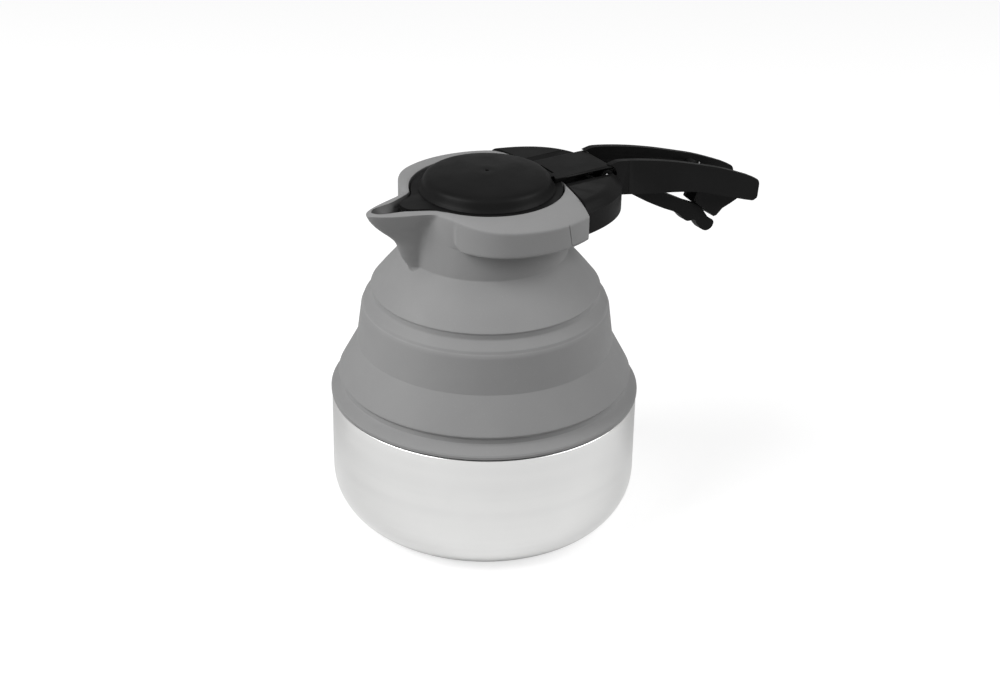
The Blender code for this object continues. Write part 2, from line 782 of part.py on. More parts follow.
def make_cap(group, cutters, plastic):
    base = lid_plate_top + touch_gap
    crown = base + cap_height
    edge_drop = (cap_height - cap_side_height) * 0.62
    outer = [(steam_hole_radius, crown),
             (cap_edge_radius * 0.55, crown - edge_drop * 0.22),
             (cap_edge_radius * 0.88, crown - edge_drop * 0.66),
             (cap_edge_radius, crown - edge_drop),
             ((cap_edge_radius + cap_radius) / 2, base + cap_side_height * 1.1),
             (cap_radius, base)]
    inner = [(cap_radius - cap_wall, base),
             (cap_edge_radius - cap_wall, base + cap_side_height * 0.8),
             (cap_edge_radius * 0.8, crown - edge_drop * 0.66 - cap_wall),
             (steam_hole_radius, crown - cap_wall)]
    cap = turned("lid_cap", outer + inner, group)
    dress(cap, plastic)
    side = tongue_half_width + touch_gap
    gate = block("cap_gate", (tongue_start - touch_gap, -side, base - overrun),
                 (cap_radius + overrun, side, bridge_top + touch_gap), cutters)
    combine(cap, gate, "DIFFERENCE")
    for count, (x, y, z) in enumerate(cap_screw_places()):
        top = base + cap_wall * 2
        high = crown - cap_wall * 1.3
        boss = rod(f"cap_boss_{count}", screw_shank_radius + cap_wall, (x, y, base), (x, y, high), cutters)
        combine(cap, boss, "UNION")
        hole = screw_hole(f"boss_hole_{count}", x, y, base - overrun, top + touch_gap, cutters)
        combine(cap, hole, "DIFFERENCE")


def bridge_plan():
    """The bridge from above: a tongue under the cap, shoulders that hug it, and a plain rear end."""
    hug = cap_radius + touch_gap
    side = math.asin(bridge_half_width / hug)
    root = math.asin(tongue_half_width / hug)
    front = [(tongue_start, tongue_half_width)] + arc((0.0, 0.0), hug, root, side, 3)
    rear = pin_x + bridge_end
    half = front + [(rear, bridge_half_width)]
    return half + [(x, -y) for x, y in reversed(half)]


def tail_end():
    return (pin_x + tail_length * math.cos(tail_angle), pin_z + tail_length * math.sin(tail_angle))


def make_bridge(group, cutters, plastic):
    bridge = slab("lid_bridge", bridge_plan(), bridge_bottom, bridge_top, group)
    dress(bridge, plastic)
    barrel = rod("bridge_barrel", barrel_radius, (pin_x, -barrel_half_width, pin_z),
                 (pin_x, barrel_half_width, pin_z), cutters, steps=ring_steps // 2)
    combine(bridge, barrel, "UNION")
    outline = capsule((pin_x, pin_z), tail_end(), tail_radius, 4)
    tail = slab("bridge_tail", outline, -tail_half_width, tail_half_width, cutters, upright=True)
    combine(bridge, tail, "UNION")
    reach = bridge_half_width + overrun
    for sign in (-1, 1):
        near = arm_gap_half_width * sign - touch_gap * sign
        far = reach * sign
        lug = rod(f"lug_space_{sign}", arm_lug_radius + touch_gap, (pin_x, near, pin_z), (pin_x, far, pin_z),
                  cutters, steps=ring_steps // 2)
        combine(bridge, lug, "DIFFERENCE")
    bore = rod("bridge_bore", pin_radius + pin_play, (pin_x, -reach, pin_z), (pin_x, reach, pin_z), cutters)
    combine(bridge, bore, "DIFFERENCE")
    for count, (x, y, z) in enumerate(bridge_screw_places()):
        hole = screw_hole(f"bridge_hole_{count}", x, y, bridge_bottom - overrun,
                          z + bridge_screw_length + touch_gap, cutters)
        combine(bridge, hole, "DIFFERENCE")
    slot_start = cap_radius + touch_gap
    floor = bridge_top - bridge_slot_depth
    slot = block("bridge_slot", (slot_start, -bridge_slot_half_width, floor),
                 (slot_start + bridge_slot_width, bridge_slot_half_width, bridge_top + overrun), cutters)
    combine(bridge, slot, "DIFFERENCE")


arm_top_shares = ((0.075, 1.008), (0.201, 0.958), (0.328, 0.888), (0.458, 0.803), (0.590, 0.701),
                  (0.724, 0.592), (0.826, 0.491), (0.945, 0.366), (0.988, 0.305), (1.0, 0.26))
arm_bottom_shares = ((0.996, 0.10), (0.988, 0.05), (0.975, 0.024), (0.958, 0.018), (0.909, 0.049),
                     (0.805, 0.140), (0.703, 0.231), (0.601, 0.317), (0.469, 0.387), (0.275, 0.468))


def arm_outline():
    """One arm from the side: a lug round the hinge pin, a drooping back and a foot on the mount."""
    rise = arm_root_rise
    height = rise + arm_tip_drop
    base = pin_z - arm_tip_drop
    shares = arm_top_shares + arm_bottom_shares
    points = [(pin_x + arm_reach * along, base + height * up) for along, up in shares]
    rear = mount_centre + mount_radius + touch_gap * 3
    foot = hub_pocket_floor + touch_gap
    points += [(rear, mount_bottom), (rear, foot), (pin_x - arm_foot_front, foot),
               (pin_x - arm_foot_front, pin_z - arm_lug_radius / 2)]
    points += arc((pin_x, pin_z), arm_lug_radius, math.pi * 1.2, arm_lug_sweep, 12)
    top = math.asin(rise / arm_nose_radius * 0.95) if rise < arm_nose_radius else math.pi / 2 * 0.86
    points += arc((pin_x, pin_z), arm_nose_radius, arm_lug_sweep, top, 8)
    points.append((pin_x + arm_nose_radius * math.cos(top), pin_z + rise))
    return points


def arm_screw_places():
    middle = arm_gap_half_width + arm_thickness / 2
    return [(pin_x + arm_foot_front, sign * middle) for sign in (-1, 1)]


def make_arms(group, cutters, plastic, steel):
    blind = arm_outer - blind_wall
    bores = (("hinge", pin_radius, pin_x, pin_z, arm_outer + overrun),
             ("trigger", trigger_pin_radius, trigger_x, trigger_z, blind),
             ("catch", catch_pin_radius, catch_x, catch_z, blind))
    for name, sign, (x, y) in zip(("handle_arm_right", "handle_arm_left"), (-1, 1), arm_screw_places()):
        low = min(arm_gap_half_width * sign, arm_outer * sign)
        high = max(arm_gap_half_width * sign, arm_outer * sign)
        arm = slab(name, arm_outline(), low, high, group, upright=True)
        dress(arm, plastic)
        for pin, radius, at_x, at_z, depth in bores:
            start = (at_x, (arm_gap_half_width - overrun) * sign, at_z)
            bore = rod(f"{pin}_bore_{sign}", radius + touch_gap, start, (at_x, depth * sign, at_z), cutters)
            combine(arm, bore, "DIFFERENCE")
        hole = screw_hole(f"arm_foot_hole_{sign}", x, y, hub_pocket_floor - overrun,
                          mount_bottom + screw_head_height + arm_screw_length + touch_gap, cutters)
        combine(arm, hole, "DIFFERENCE")
    spots = [(x, y, mount_bottom + screw_head_height) for x, y in arm_screw_places()]
    screws(("arm_screw_right", "arm_screw_left"), arm_screw_length, spots, group, cutters, steel)


trigger_bar_shares = ((0.112, 0.211), (0.286, 0.366), (0.45, 0.489), (0.617, 0.632), (0.676, 0.724),
                      (0.733, 0.787), (0.778, 0.80), (0.83, 0.80), (0.879, 0.661), (0.833, 0.587),
                      (0.774, 0.532), (0.662, 0.445), (0.497, 0.334), (0.207, 0.105), (0.034, -0.079),
                      (-0.03, 0.05))
trigger_tab_shares = ((0.70, 0.70), (0.733, 0.787), (0.778, 0.80), (0.860, 0.932), (0.888, 0.975),
                      (0.919, 0.995), (0.950, 0.990), (0.972, 0.968), (0.992, 0.935), (1.0, 0.905),
                      (0.998, 0.872), (0.988, 0.858), (0.931, 0.795), (0.905, 0.73), (0.879, 0.661),
                      (0.833, 0.587), (0.774, 0.532))


def nose_end():
    """Where the nose's round end rests, just above the tail."""
    apart = tail_radius + nose_radius + nose_gap
    x = pin_x + nose_contact * math.cos(tail_angle) - apart * math.sin(tail_angle)
    z = pin_z + nose_contact * math.sin(tail_angle) + apart * math.cos(tail_angle)
    return (x, z)


def make_trigger(group, cutters, plastic, steel):
    outline = shaped(trigger_bar_shares, trigger_x, trigger_z, trigger_reach, trigger_drop)
    trigger = slab("trigger_lever", outline, -trigger_half_width, trigger_half_width, group, upright=True)
    dress(trigger, plastic)
    outline = shaped(trigger_tab_shares, trigger_x, trigger_z, trigger_reach, trigger_drop)
    tab = slab("trigger_tab", outline, -tab_half_width, tab_half_width, cutters, upright=True)
    combine(trigger, tab, "UNION")
    half = trigger_hub_half_width
    hub = rod("trigger_hub", trigger_hub_radius, (trigger_x, -half, trigger_z), (trigger_x, half, trigger_z),
              cutters, steps=ring_steps // 2)
    combine(trigger, hub, "UNION")
    outline = capsule((trigger_x, trigger_z), nose_end(), nose_radius, 4)
    nose = slab("trigger_nose", outline, -tail_half_width, tail_half_width, cutters, upright=True)
    combine(trigger, nose, "UNION")
    reach = half + overrun
    bore = rod("trigger_bore", trigger_pin_radius + pin_play, (trigger_x, -reach, trigger_z),
               (trigger_x, reach, trigger_z), cutters)
    combine(trigger, bore, "DIFFERENCE")
    blind = arm_outer - blind_wall - touch_gap
    cross_pin("trigger_pin", trigger_pin_radius, trigger_x, trigger_z, blind, group, steel)
    coil("trigger_spring", trigger_x, trigger_z, half, trigger_spring_radius, trigger_spring_wire,
         trigger_spring_turns, group, steel)


catch_cheek_shares = ((-0.131, 0.425), (-0.226, 0.598), (0.204, 0.911), (0.326, 1.0), (0.412, 0.992),
                      (0.575, 0.873), (0.80, 0.807), (1.0, 0.737), (1.0, 0.62), (0.72, 0.30), (0.14, 0.0))
catch_web_shares = ((0.204, 0.911), (0.326, 1.0), (0.412, 0.992), (0.575, 0.873), (0.50, 0.76), (0.30, 0.77))


def make_catch(group, cutters, plastic, steel):
    outline = shaped(catch_web_shares, catch_x, catch_z, catch_reach, catch_drop)
    catch = slab("lid_catch", outline, -catch_half_width, catch_half_width, group, upright=True)
    dress(catch, plastic)
    outline = shaped(catch_cheek_shares, catch_x, catch_z, catch_reach, catch_drop)
    for sign in (-1, 1):
        near = (catch_half_width - catch_cheek) * sign
        far = catch_half_width * sign
        cheek = slab(f"catch_cheek_{sign}", outline, min(near, far), max(near, far), cutters, upright=True)
        combine(catch, cheek, "UNION")
        boss = rod(f"catch_boss_{sign}", catch_boss_radius, (catch_x, near, catch_z), (catch_x, far, catch_z),
                   cutters, steps=small_steps)
        combine(catch, boss, "UNION")
    reach = catch_half_width + overrun
    bore = cross_pin("catch_bore", catch_pin_radius + pin_play, catch_x, catch_z, reach, cutters)
    combine(catch, bore, "DIFFERENCE")
    blind = arm_outer - blind_wall - touch_gap
    cross_pin("catch_pin", catch_pin_radius, catch_x, catch_z, blind, group, steel)
    turns = catch_spring_turns
    start = -spring_pitch * turns / 2
    coil("catch_spring", catch_x, catch_z, start, catch_spring_radius, catch_spring_wire, turns, group, steel)


def coil(name, x, z, side, radius, wire, turns, group, steel):
    """A small torsion spring about a pin across the handle, starting beside a piece's side face."""
    start = side + wire + touch_gap
    curve = bpy.data.curves.new(name, "CURVE")
    curve.dimensions = "3D"
    curve.bevel_depth = wire
    curve.bevel_resolution = 1
    curve.use_fill_caps = True
    line = curve.splines.new("POLY")
    line.points.add(turns * spring_points)
    for step, point in enumerate(line.points):
        angle = 2 * math.pi * step / spring_points
        depth = start + spring_pitch * step / spring_points
        point.co = (x + radius * math.cos(angle), depth, z + radius * math.sin(angle), 1.0)
    spring = bpy.data.objects.new(name, curve)
    group.objects.link(spring)
    bpy.context.view_layer.update()
    dress(settle(spring), steel)


def main():
    clear_scene()
    parts = collection("collapsible_kettle")
    cutters = collection("cutters")
    steel = material("steel", (0.72, 0.72, 0.71), 0.25, 1.0)
    silicone = material("silicone", (0.27, 0.27, 0.27), 0.6)
    plastic = material("plastic", (0.02, 0.02, 0.02), 0.45)
    rubber = material("rubber", (0.2, 0.2, 0.2), 0.7)
    make_pot(parts, steel)
    make_clamp_ring(parts, steel)
    make_flange(parts, silicone)
    make_lower_web(parts, silicone)
    make_tier(parts, silicone)
    make_upper_web(parts, silicone)
    make_dome(parts, silicone)
    make_collar(parts, cutters, silicone)
    make_yoke(parts, cutters, plastic)
    make_mount(parts, cutters, plastic)
    spots = [(x, y, yoke_bottom + screw_head_height) for x, y in mount_screw_places()]
    screws(("mount_screw_right", "mount_screw_left"), mount_screw_length, spots, parts, cutters, steel)
    cross_pin("hinge_pin", pin_radius, pin_x, pin_z, arm_outer, parts, steel)
    make_lid(parts, cutters, plastic, rubber, steel)
    make_bridge(parts, cutters, plastic)
    make_arms(parts, cutters, plastic, steel)
    make_trigger(parts, cutters, plastic, steel)
    make_catch(parts, cutters, plastic, steel)
    for tool in cutters.objects:
        tool.hide_render = True
        tool.display_type = "WIRE"


main()
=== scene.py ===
# %% [markdown]
# # A folding kettle
# The kettle has a steel pot, a grey silicone body that folds down into it, and black moulded fittings: a lid,
# a bridge from the lid to its hinge, a crescent that clips round the collar, and a handle of two curved arms
# with a trigger under it. The imported model gives every place and size, so each piece below goes where the
# imported model has it, and all but the two halves of the silicone ride on the body that they belong to. Its
# box is kept now, to be printed beside the new box at the end.

# %% Load the imported kettle
import math

import bmesh
import bpy
import numpy as np
from mathutils import Matrix, Vector


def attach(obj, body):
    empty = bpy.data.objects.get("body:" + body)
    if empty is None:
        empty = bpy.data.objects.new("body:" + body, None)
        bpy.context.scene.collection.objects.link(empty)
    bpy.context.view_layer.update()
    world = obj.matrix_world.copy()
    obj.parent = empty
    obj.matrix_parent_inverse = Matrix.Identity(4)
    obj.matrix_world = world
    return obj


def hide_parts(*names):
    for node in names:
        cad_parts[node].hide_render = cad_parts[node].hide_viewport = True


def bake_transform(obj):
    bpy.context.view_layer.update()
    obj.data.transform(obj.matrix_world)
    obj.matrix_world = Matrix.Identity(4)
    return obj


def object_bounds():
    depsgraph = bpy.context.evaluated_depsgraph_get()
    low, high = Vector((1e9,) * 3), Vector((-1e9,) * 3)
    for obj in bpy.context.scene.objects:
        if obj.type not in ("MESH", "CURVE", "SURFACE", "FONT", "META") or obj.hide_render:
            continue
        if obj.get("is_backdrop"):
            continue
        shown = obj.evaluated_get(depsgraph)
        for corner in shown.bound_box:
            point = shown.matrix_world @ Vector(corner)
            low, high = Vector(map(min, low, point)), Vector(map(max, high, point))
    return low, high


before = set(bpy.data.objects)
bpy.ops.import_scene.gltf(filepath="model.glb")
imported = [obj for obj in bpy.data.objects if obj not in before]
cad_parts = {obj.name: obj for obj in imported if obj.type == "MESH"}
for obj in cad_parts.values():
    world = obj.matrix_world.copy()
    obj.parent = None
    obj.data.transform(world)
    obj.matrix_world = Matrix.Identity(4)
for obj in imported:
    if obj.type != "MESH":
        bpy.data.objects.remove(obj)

packed_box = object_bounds()
mm = 0.001
weld = 0.004 * mm

# %% [markdown]
# ## Helpers for meshes
# Most pieces are either turned, lofted through rings, or cut from a plate. A corner on a moulded or pressed
# piece is never sharp, so outlines are drawn with plain corners first and each corner is then replaced by a
# short arc. That keeps the list of sizes readable, and a rounding can be changed without moving the corner.

# %% Draw outlines
def rounded(points, radii, steps=5, closed=False):
    """The outline with each corner replaced by an arc. A radius of zero keeps the corner."""
    count = len(points)
    out = []
    for index, (point, radius) in enumerate(zip(points, radii)):
        here = Vector(point)
        before, after = (Vector(points[place % count]) - here for place in (index - 1, index + 1))
        at_end = not closed and index in (0, count - 1)
        if radius <= 0 or at_end or math.pi - before.angle(after) < 0.02:
            out.append(tuple(point))
            continue
        reach = min(radius / math.tan(before.angle(after) / 2), before.length * 0.48, after.length * 0.48)
        start, end = here + before.normalized() * reach, here + after.normalized() * reach
        for share in (step / steps for step in range(steps + 1)):
            out.append(tuple(start * (1 - share) ** 2 + here * (2 * share * (1 - share)) + end * share ** 2))
    return out


def spaced(points, gap):
    """The same line with extra points, so that no stretch is longer than the gap."""
    out = [points[0]]
    for start, end in zip(points, points[1:]):
        pieces = max(1, math.ceil(math.dist(start, end) / gap))
        for step in range(1, pieces + 1):
            out.append(tuple(a + (b - a) * step / pieces for a, b in zip(start, end)))
    return out


def flowing(points, steps):
    """A smooth line through the points."""
    last = len(points) - 1
    out = []
    for index in range(last):
        a, b, c, d = (np.array(points[min(max(index + k, 0), last)], float) for k in (-1, 0, 1, 2))
        for t in (step / steps for step in range(steps)):
            out.append(tuple(0.5 * (2 * b + (c - a) * t + (2 * a - 5 * b + 4 * c - d) * t ** 2
                                    + (3 * b - a - 3 * c + d) * t ** 3)))
    return out + [tuple(points[-1])]


def arc(centre, radius, start, end, steps):
    """Points on a circle, from one angle to another, in degrees."""
    turns = [math.radians(start + (end - start) * step / steps) for step in range(steps + 1)]
    return [(centre[0] + radius * math.cos(turn), centre[1] + radius * math.sin(turn)) for turn in turns]


def smooth(share):
    share = min(max(share, 0.0), 1.0)
    return share * share * (3 - 2 * share)


def from_table(table, value):
    """Reads a table of (place, size) pairs with straight lines between them."""
    return float(np.interp(value, *zip(*table)))


# %% Make mesh objects
def linked(name, data):
    made = bpy.data.objects.new(name, data)
    bpy.context.scene.collection.objects.link(made)
    return made


def mesh_object(name, points, faces):
    mesh = bpy.data.meshes.new(name)
    mesh.from_pydata([tuple(point) for point in points], [], faces)
    return linked(name, mesh)


def built(name, work):
    """Ends a bmesh as an object."""
    mesh = bpy.data.meshes.new(name)
    work.to_mesh(mesh)
    work.free()
    return linked(name, mesh)


def lofted(name, stack):
    """Rings of the same count joined by quads, with a flat face on the first and the last ring."""
    work = bmesh.new()
    rows = [[work.verts.new([size * mm for size in point]) for point in points] for points in stack]
    work.faces.new(rows[0])
    work.faces.new(rows[-1])
    for lower, upper in zip(rows, rows[1:]):
        for step in range(len(lower)):
            following = (step + 1) % len(lower)
            work.faces.new((lower[step], lower[following], upper[following], upper[step]))
    bmesh.ops.recalc_face_normals(work, faces=work.faces)
    return built(name, work)


def plate(name, outline, low, high, upright=False):
    """A flat blank between two levels. Upright blanks are drawn in X and Z and stand across Y."""
    return lofted(name, [[(a, level, b) if upright else (a, b, level) for a, b in outline]
                         for level in (low, high)])


def box_blank(low, high):
    (x0, y0, z0), (x1, y1, z1) = low, high
    return plate("box", [(x0, y0), (x1, y0), (x1, y1), (x0, y1)], z0, z1)


def round_blank(radius, low, high, centre=(0.0, 0.0)):
    return plate("disc", arc(centre, radius, 0, 360, 192)[:-1], low, high)


def bar(name, radius, start, end, steps):
    """A round bar between two points, in millimetres."""
    line = Vector(end) - Vector(start)
    work = bmesh.new()
    bmesh.ops.create_cone(work, cap_ends=True, segments=steps, radius1=radius * mm, radius2=radius * mm,
                          depth=line.length * mm)
    middle = (Vector(start) + Vector(end)) / 2 * mm
    turn = line.to_track_quat("Z", "Y").to_matrix().to_4x4()
    bmesh.ops.transform(work, matrix=Matrix.Translation(middle) @ turn, verts=work.verts)
    return built(name, work)


def cross_bar(name, radius, centre, start, end, steps):
    """A round bar along Y, between two sides, round a point given in X and Z."""
    return bar(name, radius, (centre[0], start, centre[1]), (centre[0], end, centre[1]), steps)


# %% Clean, cut and finish mesh objects
def tidy_mesh(made):
    """Doubles merged, and every face turned outwards."""
    work = bmesh.new()
    work.from_mesh(made.data)
    bmesh.ops.remove_doubles(work, verts=work.verts, dist=weld)
    bmesh.ops.dissolve_degenerate(work, edges=work.edges, dist=weld / 2)
    bmesh.ops.recalc_face_normals(work, faces=work.faces)
    work.to_mesh(made.data)
    work.free()


def applied(made):
    """Replaces the mesh by what its modifiers make of it."""
    graph = bpy.context.evaluated_depsgraph_get()
    result = bpy.data.meshes.new_from_object(made.evaluated_get(graph), depsgraph=graph)
    made.modifiers.clear()
    old, made.data = made.data, result
    result.name = made.name
    if old.users == 0:
        bpy.data.meshes.remove(old)
    return made


def shaded(made, sharp_degrees=None):
    """Smooth shading, but for corners sharper than the angle."""
    made.data.polygons.foreach_set("use_smooth", [True] * len(made.data.polygons))
    if sharp_degrees:
        made.data.set_sharp_from_angle(angle=math.radians(sharp_degrees))
    return made


def boolean(made, operation, tools):
    """One Boolean step for each tool. The tools are used up."""
    for tool in tools:
        step = made.modifiers.new("step", "BOOLEAN")
        step.operation, step.solver, step.object = operation, "MANIFOLD", tool
        applied(made)
        bpy.data.objects.remove(tool)


def cut(made, *tools):
    boolean(made, "DIFFERENCE", tools)


def join(made, *tools):
    boolean(made, "UNION", tools)


def drilled(made, radius, x, y, low, high, steps=24):
    """An upright round hole."""
    cut(made, bar("hole", radius, (x, y, low), (x, y, high), steps))


def softened(made, width, steps, degrees):
    """Moulded edges: a small bevel on every real corner, with shading that keeps the flats flat."""
    shaded(made)
    bevel = made.modifiers.new("soft edges", "BEVEL")
    bevel.width, bevel.segments = width * mm, steps
    bevel.limit_method, bevel.angle_limit = "ANGLE", math.radians(degrees)
    bevel.use_clamp_overlap = True
    bevel.miter_outer = "MITER_ARC"
    shaded(applied(made), 50.0)
    made.modifiers.new("flat sides", "WEIGHTED_NORMAL").keep_sharp = True
    return shaded(applied(made))


def report(made):
    low, high = ([edge(point.co[axis] for point in made.data.vertices) / mm for axis in range(3)]
                 for edge in (min, max))
    sides = " x ".join(f"{b - a:.1f}" for a, b in zip(low, high))
    print(f"{made.name}: {len(made.data.polygons)} faces, {sides} mm, z {low[2]:.1f} to {high[2]:.1f}")
    return made


# %% [markdown]
# ## Turned pieces as one Geometry Nodes tree
# The pot, the lower half of the silicone, the lid's cap and its seal all follow one rule: a profile carried
# round the kettle's axis. A Screw modifier would do it, but a node tree keeps the rule in the open. It lays
# out a grid with one row for each point of the profile, reads the profile's radius and height by row, and
# turns each column round the axis. The first and last columns meet, so they are merged. The object's own
# mesh holds only the profile, which makes any turned piece one short list of points.

# %% Helpers for node trees
def new_tree(name, kind, inputs, outputs):
    """A node group. Each socket has its kind, or a number, which is then its first value."""
    tree = bpy.data.node_groups.new(name, kind)
    for in_out, sockets in (("INPUT", inputs), ("OUTPUT", outputs)):
        for label, given in sockets.items():
            number = isinstance(given, float)
            socket_type = "NodeSocketFloat" if number else "NodeSocket" + given
            socket = tree.interface.new_socket(label, in_out=in_out, socket_type=socket_type)
            if number:
                socket.default_value = given
    return tree, tree.nodes.new("NodeGroupInput").outputs, tree.nodes.new("NodeGroupOutput").inputs


def node(tree, kind, inputs=None, **settings):
    """A new node, with each input linked to a socket or set to a value. It hands back the node's outputs."""
    made = tree.nodes.new(kind)
    for label, value in settings.items():
        setattr(made, label, value)
    for slot, source in (inputs or {}).items():
        if isinstance(source, bpy.types.NodeSocket):
            tree.links.new(source, made.inputs[slot])
        else:
            made.inputs[slot].default_value = source
    return made.outputs


def maths(tree, operation, *inputs):
    return node(tree, "ShaderNodeMath", dict(enumerate(inputs)), operation=operation)[0]


def set_inputs(modifier, **values):
    """A modifier's inputs are set by their identifiers, found from their names."""
    for item in modifier.node_group.interface.items_tree:
        if item.item_type == "SOCKET" and item.in_out == "INPUT" and item.name in values:
            modifier[item.identifier] = values[item.name]


def made_real(tree, geometry, finish, target):
    """The end of a tree: real geometry, with its material."""
    real = node(tree, "GeometryNodeRealizeInstances", {"Geometry": geometry})
    tree.links.new(node(tree, "GeometryNodeSetMaterial", {"Geometry": real[0], "Material": finish})[0], target)


# %% Build the turning tree
def turning_tree():
    tree, given, out = new_tree("turn a profile", "GeometryNodeTree",
                                {"Profile": "Geometry", "Steps round": "Int", "Finish": "Material"},
                                {"Turned": "Geometry"})
    rows = node(tree, "GeometryNodeAttributeDomainSize", {"Geometry": given["Profile"]})["Point Count"]
    columns = maths(tree, "ADD", given["Steps round"], 1.0)
    grid = node(tree, "GeometryNodeMeshGrid", {"Vertices X": columns, "Vertices Y": rows})["Mesh"]
    index = node(tree, "GeometryNodeInputIndex")[0]
    row = maths(tree, "FLOORED_MODULO", index, rows)
    column = maths(tree, "FLOOR", maths(tree, "DIVIDE", maths(tree, "ADD", index, 0.5), rows))
    turn = maths(tree, "MULTIPLY", maths(tree, "DIVIDE", column, given["Steps round"]), math.tau)
    read = node(tree, "GeometryNodeSampleIndex",
                {"Geometry": given["Profile"], "Value": node(tree, "GeometryNodeInputPosition")[0], "Index": row},
                data_type="FLOAT_VECTOR")["Value"]
    radius, _, height = node(tree, "ShaderNodeSeparateXYZ", {0: read})
    x, y = (maths(tree, "MULTIPLY", radius, maths(tree, wave, turn)) for wave in ("COSINE", "SINE"))
    place = node(tree, "ShaderNodeCombineXYZ", {"X": x, "Y": y, "Z": height})[0]
    moved = node(tree, "GeometryNodeSetPosition", {"Geometry": grid, "Position": place})[0]
    merged = node(tree, "GeometryNodeMergeByDistance", {"Geometry": moved, "Distance": weld})[0]
    made_real(tree, merged, given["Finish"], out["Turned"])
    return tree


turning = turning_tree()


def turned(name, profile, finish, steps=192, closed=True, sharp_degrees=34.0):
    """Turns a profile of (radius, height) pairs, in millimetres, into a finished piece."""
    line = list(profile) + ([profile[0]] if closed else [])
    made = mesh_object(name, [(radius * mm, 0.0, height * mm) for radius, height in line], [])
    step = made.modifiers.new("turning", "NODES")
    step.node_group = turning
    set_inputs(step, **{"Steps round": steps, "Finish": finish})
    tidy_mesh(shaded(applied(made)))
    return report(shaded(made, sharp_degrees))

# %% [markdown]
# ## Finishes
# There are six finishes: polished steel, plain screw steel, a darker steel for small pins and springs, grey
# silicone, black moulded plastic and the lid's seal. None of them is one flat colour when seen close. Each
# effect is a small node group with named inputs, built once: a soft mottle for colour and roughness, a fine
# grain as a mould leaves it, wear that lightens convex edges, partly as a painted highlight, and the fine
# lines of polished steel. They read Object coordinates, because every piece sits at the origin and the
# pattern then stays on the piece. The inside of the collar has painted shade, a darker grey. The piece's mesh
# says where, so that it stays there when the body folds.

# %% Shared effects as node groups
def object_place(tree):
    return node(tree, "ShaderNodeTexCoord")["Object"]


def noise(tree, vector, scale, detail, roughness=0.5):
    return node(tree, "ShaderNodeTexNoise",
                {"Vector": vector, "Scale": scale, "Detail": detail, "Roughness": roughness})[0]


def spread(tree, value, *limits):
    """Carries a value from one range over to another: low in, high in, low out, high out."""
    labels = ("Value", "From Min", "From Max", "To Min", "To Max")
    return node(tree, "ShaderNodeMapRange", dict(zip(labels, (value, *limits))))[0]


def mottle_group():
    """A soft, uneven value between two limits."""
    tree, given, out = new_tree("mottle", "ShaderNodeTree", {"Scale": 20.0, "Low": 0.0, "High": 1.0},
                                {"Value": "Float"})
    cloud = noise(tree, object_place(tree), given["Scale"], 4.0, 0.55)
    tree.links.new(spread(tree, cloud, 0.3, 0.7, given["Low"], given["High"]), out["Value"])
    return tree


def grain_group():
    """The close, even grain of a blasted mould, as a height from 0 to 1."""
    tree, given, out = new_tree("moulded grain", "ShaderNodeTree", {"Scale": 900.0, "Coarse share": 0.3},
                                {"Height": "Float"})
    share = given["Coarse share"]
    fine = noise(tree, object_place(tree), given["Scale"], 2.0)
    wide = noise(tree, object_place(tree), maths(tree, "MULTIPLY", given["Scale"], 0.21), 2.0)
    rest = maths(tree, "MULTIPLY", fine, maths(tree, "SUBTRACT", 1.0, share))
    tree.links.new(maths(tree, "MULTIPLY_ADD", wide, share, rest), out["Height"])
    return tree


def wear_and_highlight_group():
    """Where an edge has been rubbed, with a painted highlight along it: convex places, broken up by noise."""
    tree, given, out = new_tree("edge wear", "ShaderNodeTree", {"Start": 0.52, "Full": 0.62, "Breaks": 160.0},
                                {"Mask": "Float"})
    edge = node(tree, "ShaderNodeNewGeometry")["Pointiness"]
    raised = spread(tree, edge, given["Start"], given["Full"], 0.0, 1.0)
    broken = spread(tree, noise(tree, object_place(tree), given["Breaks"], 3.0), 0.3, 0.62, 0.35, 1.0)
    tree.links.new(maths(tree, "MULTIPLY", raised, broken), out["Mask"])
    return tree


def turned_lines_group():
    """Fine lines round the kettle's axis, as a polishing wheel leaves them."""
    tree, given, out = new_tree("turned lines", "ShaderNodeTree", {"Lines per metre": 2600.0},
                                {"Height": "Float", "Streak": "Float"})
    x, y, z = node(tree, "ShaderNodeSeparateXYZ", {0: object_place(tree)})
    radius = maths(tree, "SQRT", maths(tree, "MULTIPLY_ADD", x, x, maths(tree, "MULTIPLY", y, y)))
    across, up = (maths(tree, "MULTIPLY", part, given["Lines per metre"]) for part in (radius, z))
    around = maths(tree, "MULTIPLY", maths(tree, "ADD", x, y), 9.0)
    along = node(tree, "ShaderNodeCombineXYZ", {"X": across, "Y": up, "Z": around})[0]
    broad = node(tree, "ShaderNodeVectorMath", {0: along, "Scale": 0.06}, operation="SCALE")[0]
    tree.links.new(noise(tree, along, 1.0, 3.0), out["Height"])
    tree.links.new(noise(tree, broad, 1.0, 2.0), out["Streak"])
    return tree


mottle, grain, wear_and_highlight, lines = mottle_group(), grain_group(), wear_and_highlight_group(), turned_lines_group()


# %% Materials
def effect(tree, group, output, **values):
    """Places a shared effect in a material, with the material's own values."""
    placed = tree.nodes.new("ShaderNodeGroup")
    placed.node_tree = group
    for label, value in values.items():
        placed.inputs[label.replace("_", " ")].default_value = value
    return placed.outputs[output]


def mottled(tree, scale, low=0.0, high=1.0):
    return effect(tree, mottle, "Value", Scale=scale, Low=low, High=high)


def grained(tree, scale, coarse=0.3):
    return effect(tree, grain, "Height", Scale=scale, Coarse_share=coarse)


def blended(tree, share, first, second):
    """A mix of two colours. The Mix node's colour sockets have the places 6, 7 and 2."""
    return node(tree, "ShaderNodeMix", {0: share, 6: first, 7: second}, data_type="RGBA")[2]


def grey(level, blue=None):
    """A grey, which leans to warm or cold where its blue is given apart."""
    return (level, level, level if blue is None else blue, 1.0)


